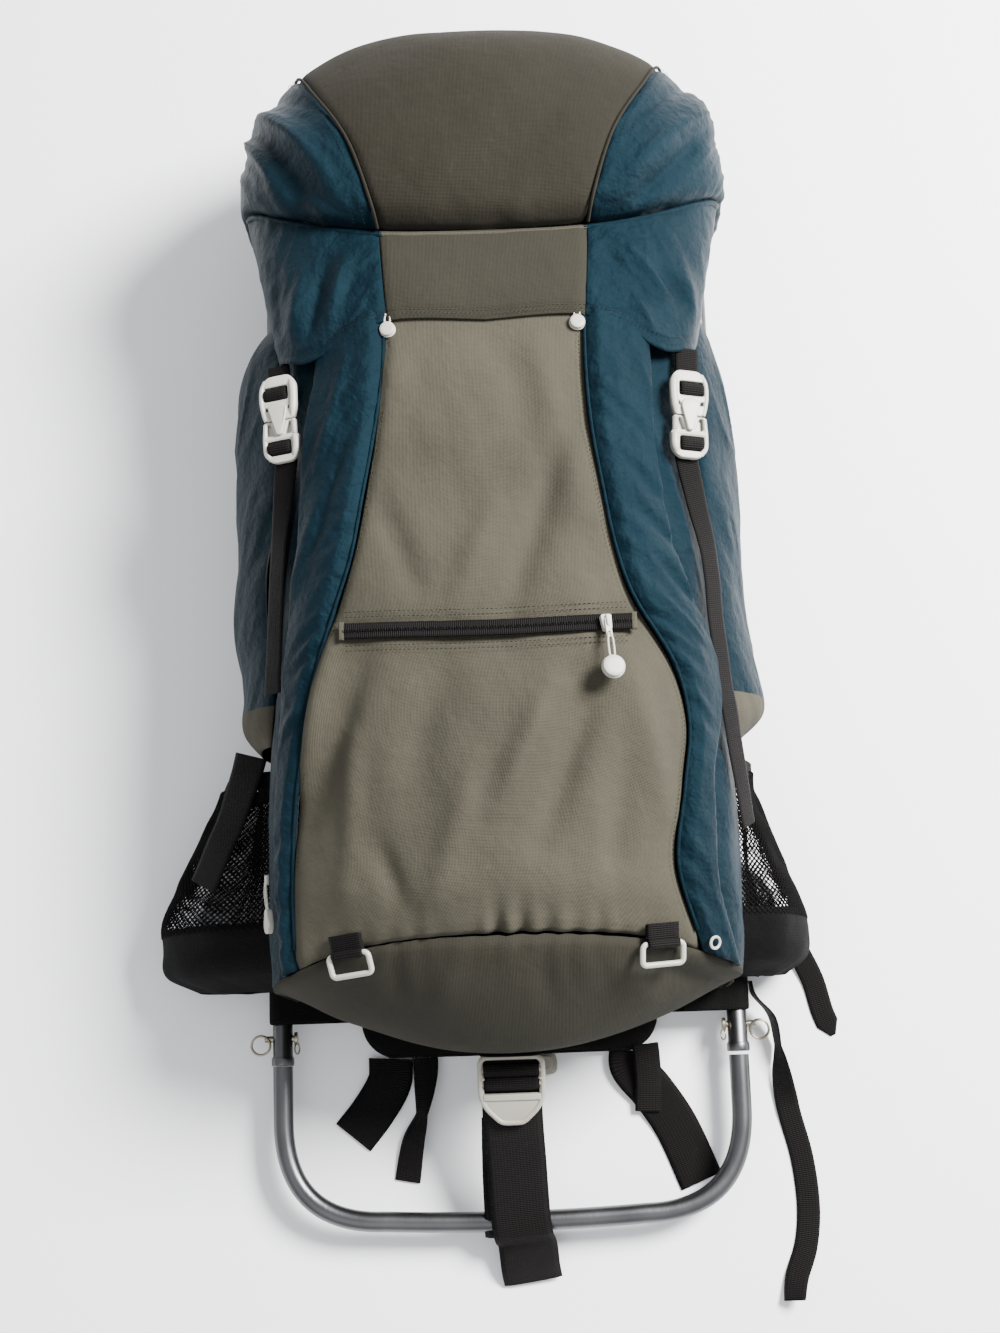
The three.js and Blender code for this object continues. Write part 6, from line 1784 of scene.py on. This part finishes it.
addPart("belt_buckle_part", beltShapes, (beltSpot, (0, 1, 0), (0, 0, 1)), beigePlastic, ["belt_buckle"], sharp=50)

# Piping in the seams of the bag and the hood
v = np.linspace(0.02, 0.985, 150)
for side, sign in sides:
    edge = sidePanel(side)(0 * v, v) * np.array([sign, 1, 1])
    addShape(f"front_piping_{side}", tubeShape(edge + np.array([sign * 0.8, 0, 0.4]), 1.5, 8), blueCloth)
v = np.linspace(0.02, 0.90, 90)
hoodLine = hoodSide(0 * v, v)
for side, sign in sides:
    addShape(f"hood_piping_{side}", tubeShape(hoodLine * np.array([sign, 1, 1]) + np.array([0, 0, 0.5]), 1.4, 8),
             hoodCloth)


def apronRow(shares, down):  # the apron at one height, from its left edge to its right
    points = apronPoint(np.abs(shares), 0 * shares + down)
    points[:, 0] *= np.sign(shares)
    return points


creaseShares = np.linspace(-0.99, 0.99, 160)
crease = apronRow(creaseShares, 0.0)
for label, keep in (("left", creaseShares < -0.40), ("middle", np.abs(creaseShares) <= 0.42),
                    ("right", creaseShares > 0.40)):
    cloth = greyCloth if label == "middle" else blueCloth
    addShape(f"crease_binding_{label}", tubeShape(crease[keep] - np.array([0, 0, 1.6]), 2.6, 8), cloth)
print("piping made")

# Rows of stitches: beside the zip, along the front seams, the hem and the hood seams
frontLine = lambda points: (points, np.array([onFront(p[0], p[1], 0)[1] for p in points]))


def zipLine(off):
    line = []
    for x in np.linspace(zipSeat["left"] + 4, zipSeat["right"] - 4, 110):
        line.append(onFront(x, onZip(x, 0.5)[1] + off, 0.9)[0])
    return frontLine(np.array(line))


def besideSeam(side, sign, out):
    line = []
    for v in np.linspace(0.03, 0.97, 150):
        x = abs(seamX(side, v)) - out
        line.append(onFront(x, bag["foot"] + v * bag["length"], stitchLook["seamLift"])[0] * np.array([sign, 1, 1]))
    points = np.array(line)
    return points, np.array([onFront(abs(p[0]), p[1], 0)[1] * np.array([sign, 1, 1]) for p in points])


addStitches("front_stitches", [zipLine(off) for off in (11.5, 15.5, -11.5, -15.5)]
            + [besideSeam(side, sign, 4.5) for side, sign in sides], threadBlack)


def onPanel(point, u, v0, v1, sign):
    v = np.linspace(v0, v1, 160)
    line, beside = point(0 * v + u, v), point(0 * v + u + 0.01, v)
    out = unit(np.cross(beside - line, np.gradient(line, axis=0)))
    out = out * np.sign(out[:, 2:3] + 1e-9)
    flip = np.array([sign, 1, 1])
    return (line + out * stitchLook["panelLift"]) * flip, out * flip


lines = [onPanel(sidePanel(side), u, 0.04, 0.96, sign) for side, sign in sides for u in (0.018, 0.085, 0.10)]
lines += [onPanel(hoodSide, u, 0.04, 0.94, sign) for sign in (-1, 1) for u in (0.03, 0.06)]
addStitches("blue_stitches", lines, threadBlue)
lines = []
for down in (0.955, 0.915):
    shares = np.linspace(-0.985, 0.985, 240)
    points = apronRow(shares, down)
    lines.append((points + np.array([0, 0, 1.9]), upward(240)))
addStitches("hem_stitches", lines, threadBlack)
print("stitches made")


# Floor and soft studio light
studio = {"floorSize": 9.0, "floorColour": (0.95, 0.95, 0.952), "keyPower": 400.0, "keySize": 1.1,
          "keyPlace": (1.7, 0.9, 2.1), "fillPower": 14.0, "fillPlace": (-0.6, -1.6, 2.2), "world": 0.95}


def addFloor():
    half = studio["floorSize"] / 2
    mesh = bpy.data.meshes.new("studio_floor")
    mesh.from_pydata([(-half, -half, 0), (half, -half, 0), (half, half, 0), (-half, half, 0)], [], [(0, 1, 2, 3)])
    floor = bpy.data.objects.new("studio_floor", mesh)
    bpy.context.scene.collection.objects.link(floor)
    material, tree, shader = startMaterial("floor_paper")
    place = tree.nodes.new("ShaderNodeTexCoord").outputs["Object"]
    patchDustGrain = useGroup(tree, patchDustGrainGroup, place, Scale=3.0)
    r, g, b = studio["floorColour"]
    tree.links.new(blendColour(tree, patchDustGrain.outputs["Patches"], (r - 0.015, g - 0.015, b - 0.015), (r, g, b)),
                   shader.inputs["Base Color"])
    shader.inputs["Roughness"].default_value = 0.9
    mesh.materials.append(material)


def addLight(name, power, size, place):
    data = bpy.data.lights.new(name, "AREA")
    data.energy, data.size, data.shape = power, size, "DISK"
    lamp = bpy.data.objects.new(name, data)
    lamp.location = place
    lamp.rotation_euler = (Vector((0, 0, 0.1)) - Vector(place)).to_track_quat("-Z", "Y").to_euler()
    bpy.context.scene.collection.objects.link(lamp)


addFloor()
addLight("key_softbox", studio["keyPower"], studio["keySize"], studio["keyPlace"])
addLight("fill_softbox", studio["fillPower"], 2.2, studio["fillPlace"])
world = bpy.data.worlds.new("studio_world")
world.use_nodes = True
world.node_tree.nodes["Background"].inputs["Color"].default_value = (0.93, 0.95, 1.0, 1)
world.node_tree.nodes["Background"].inputs["Strength"].default_value = studio["world"]
bpy.context.scene.world = world
print("floor and light made")
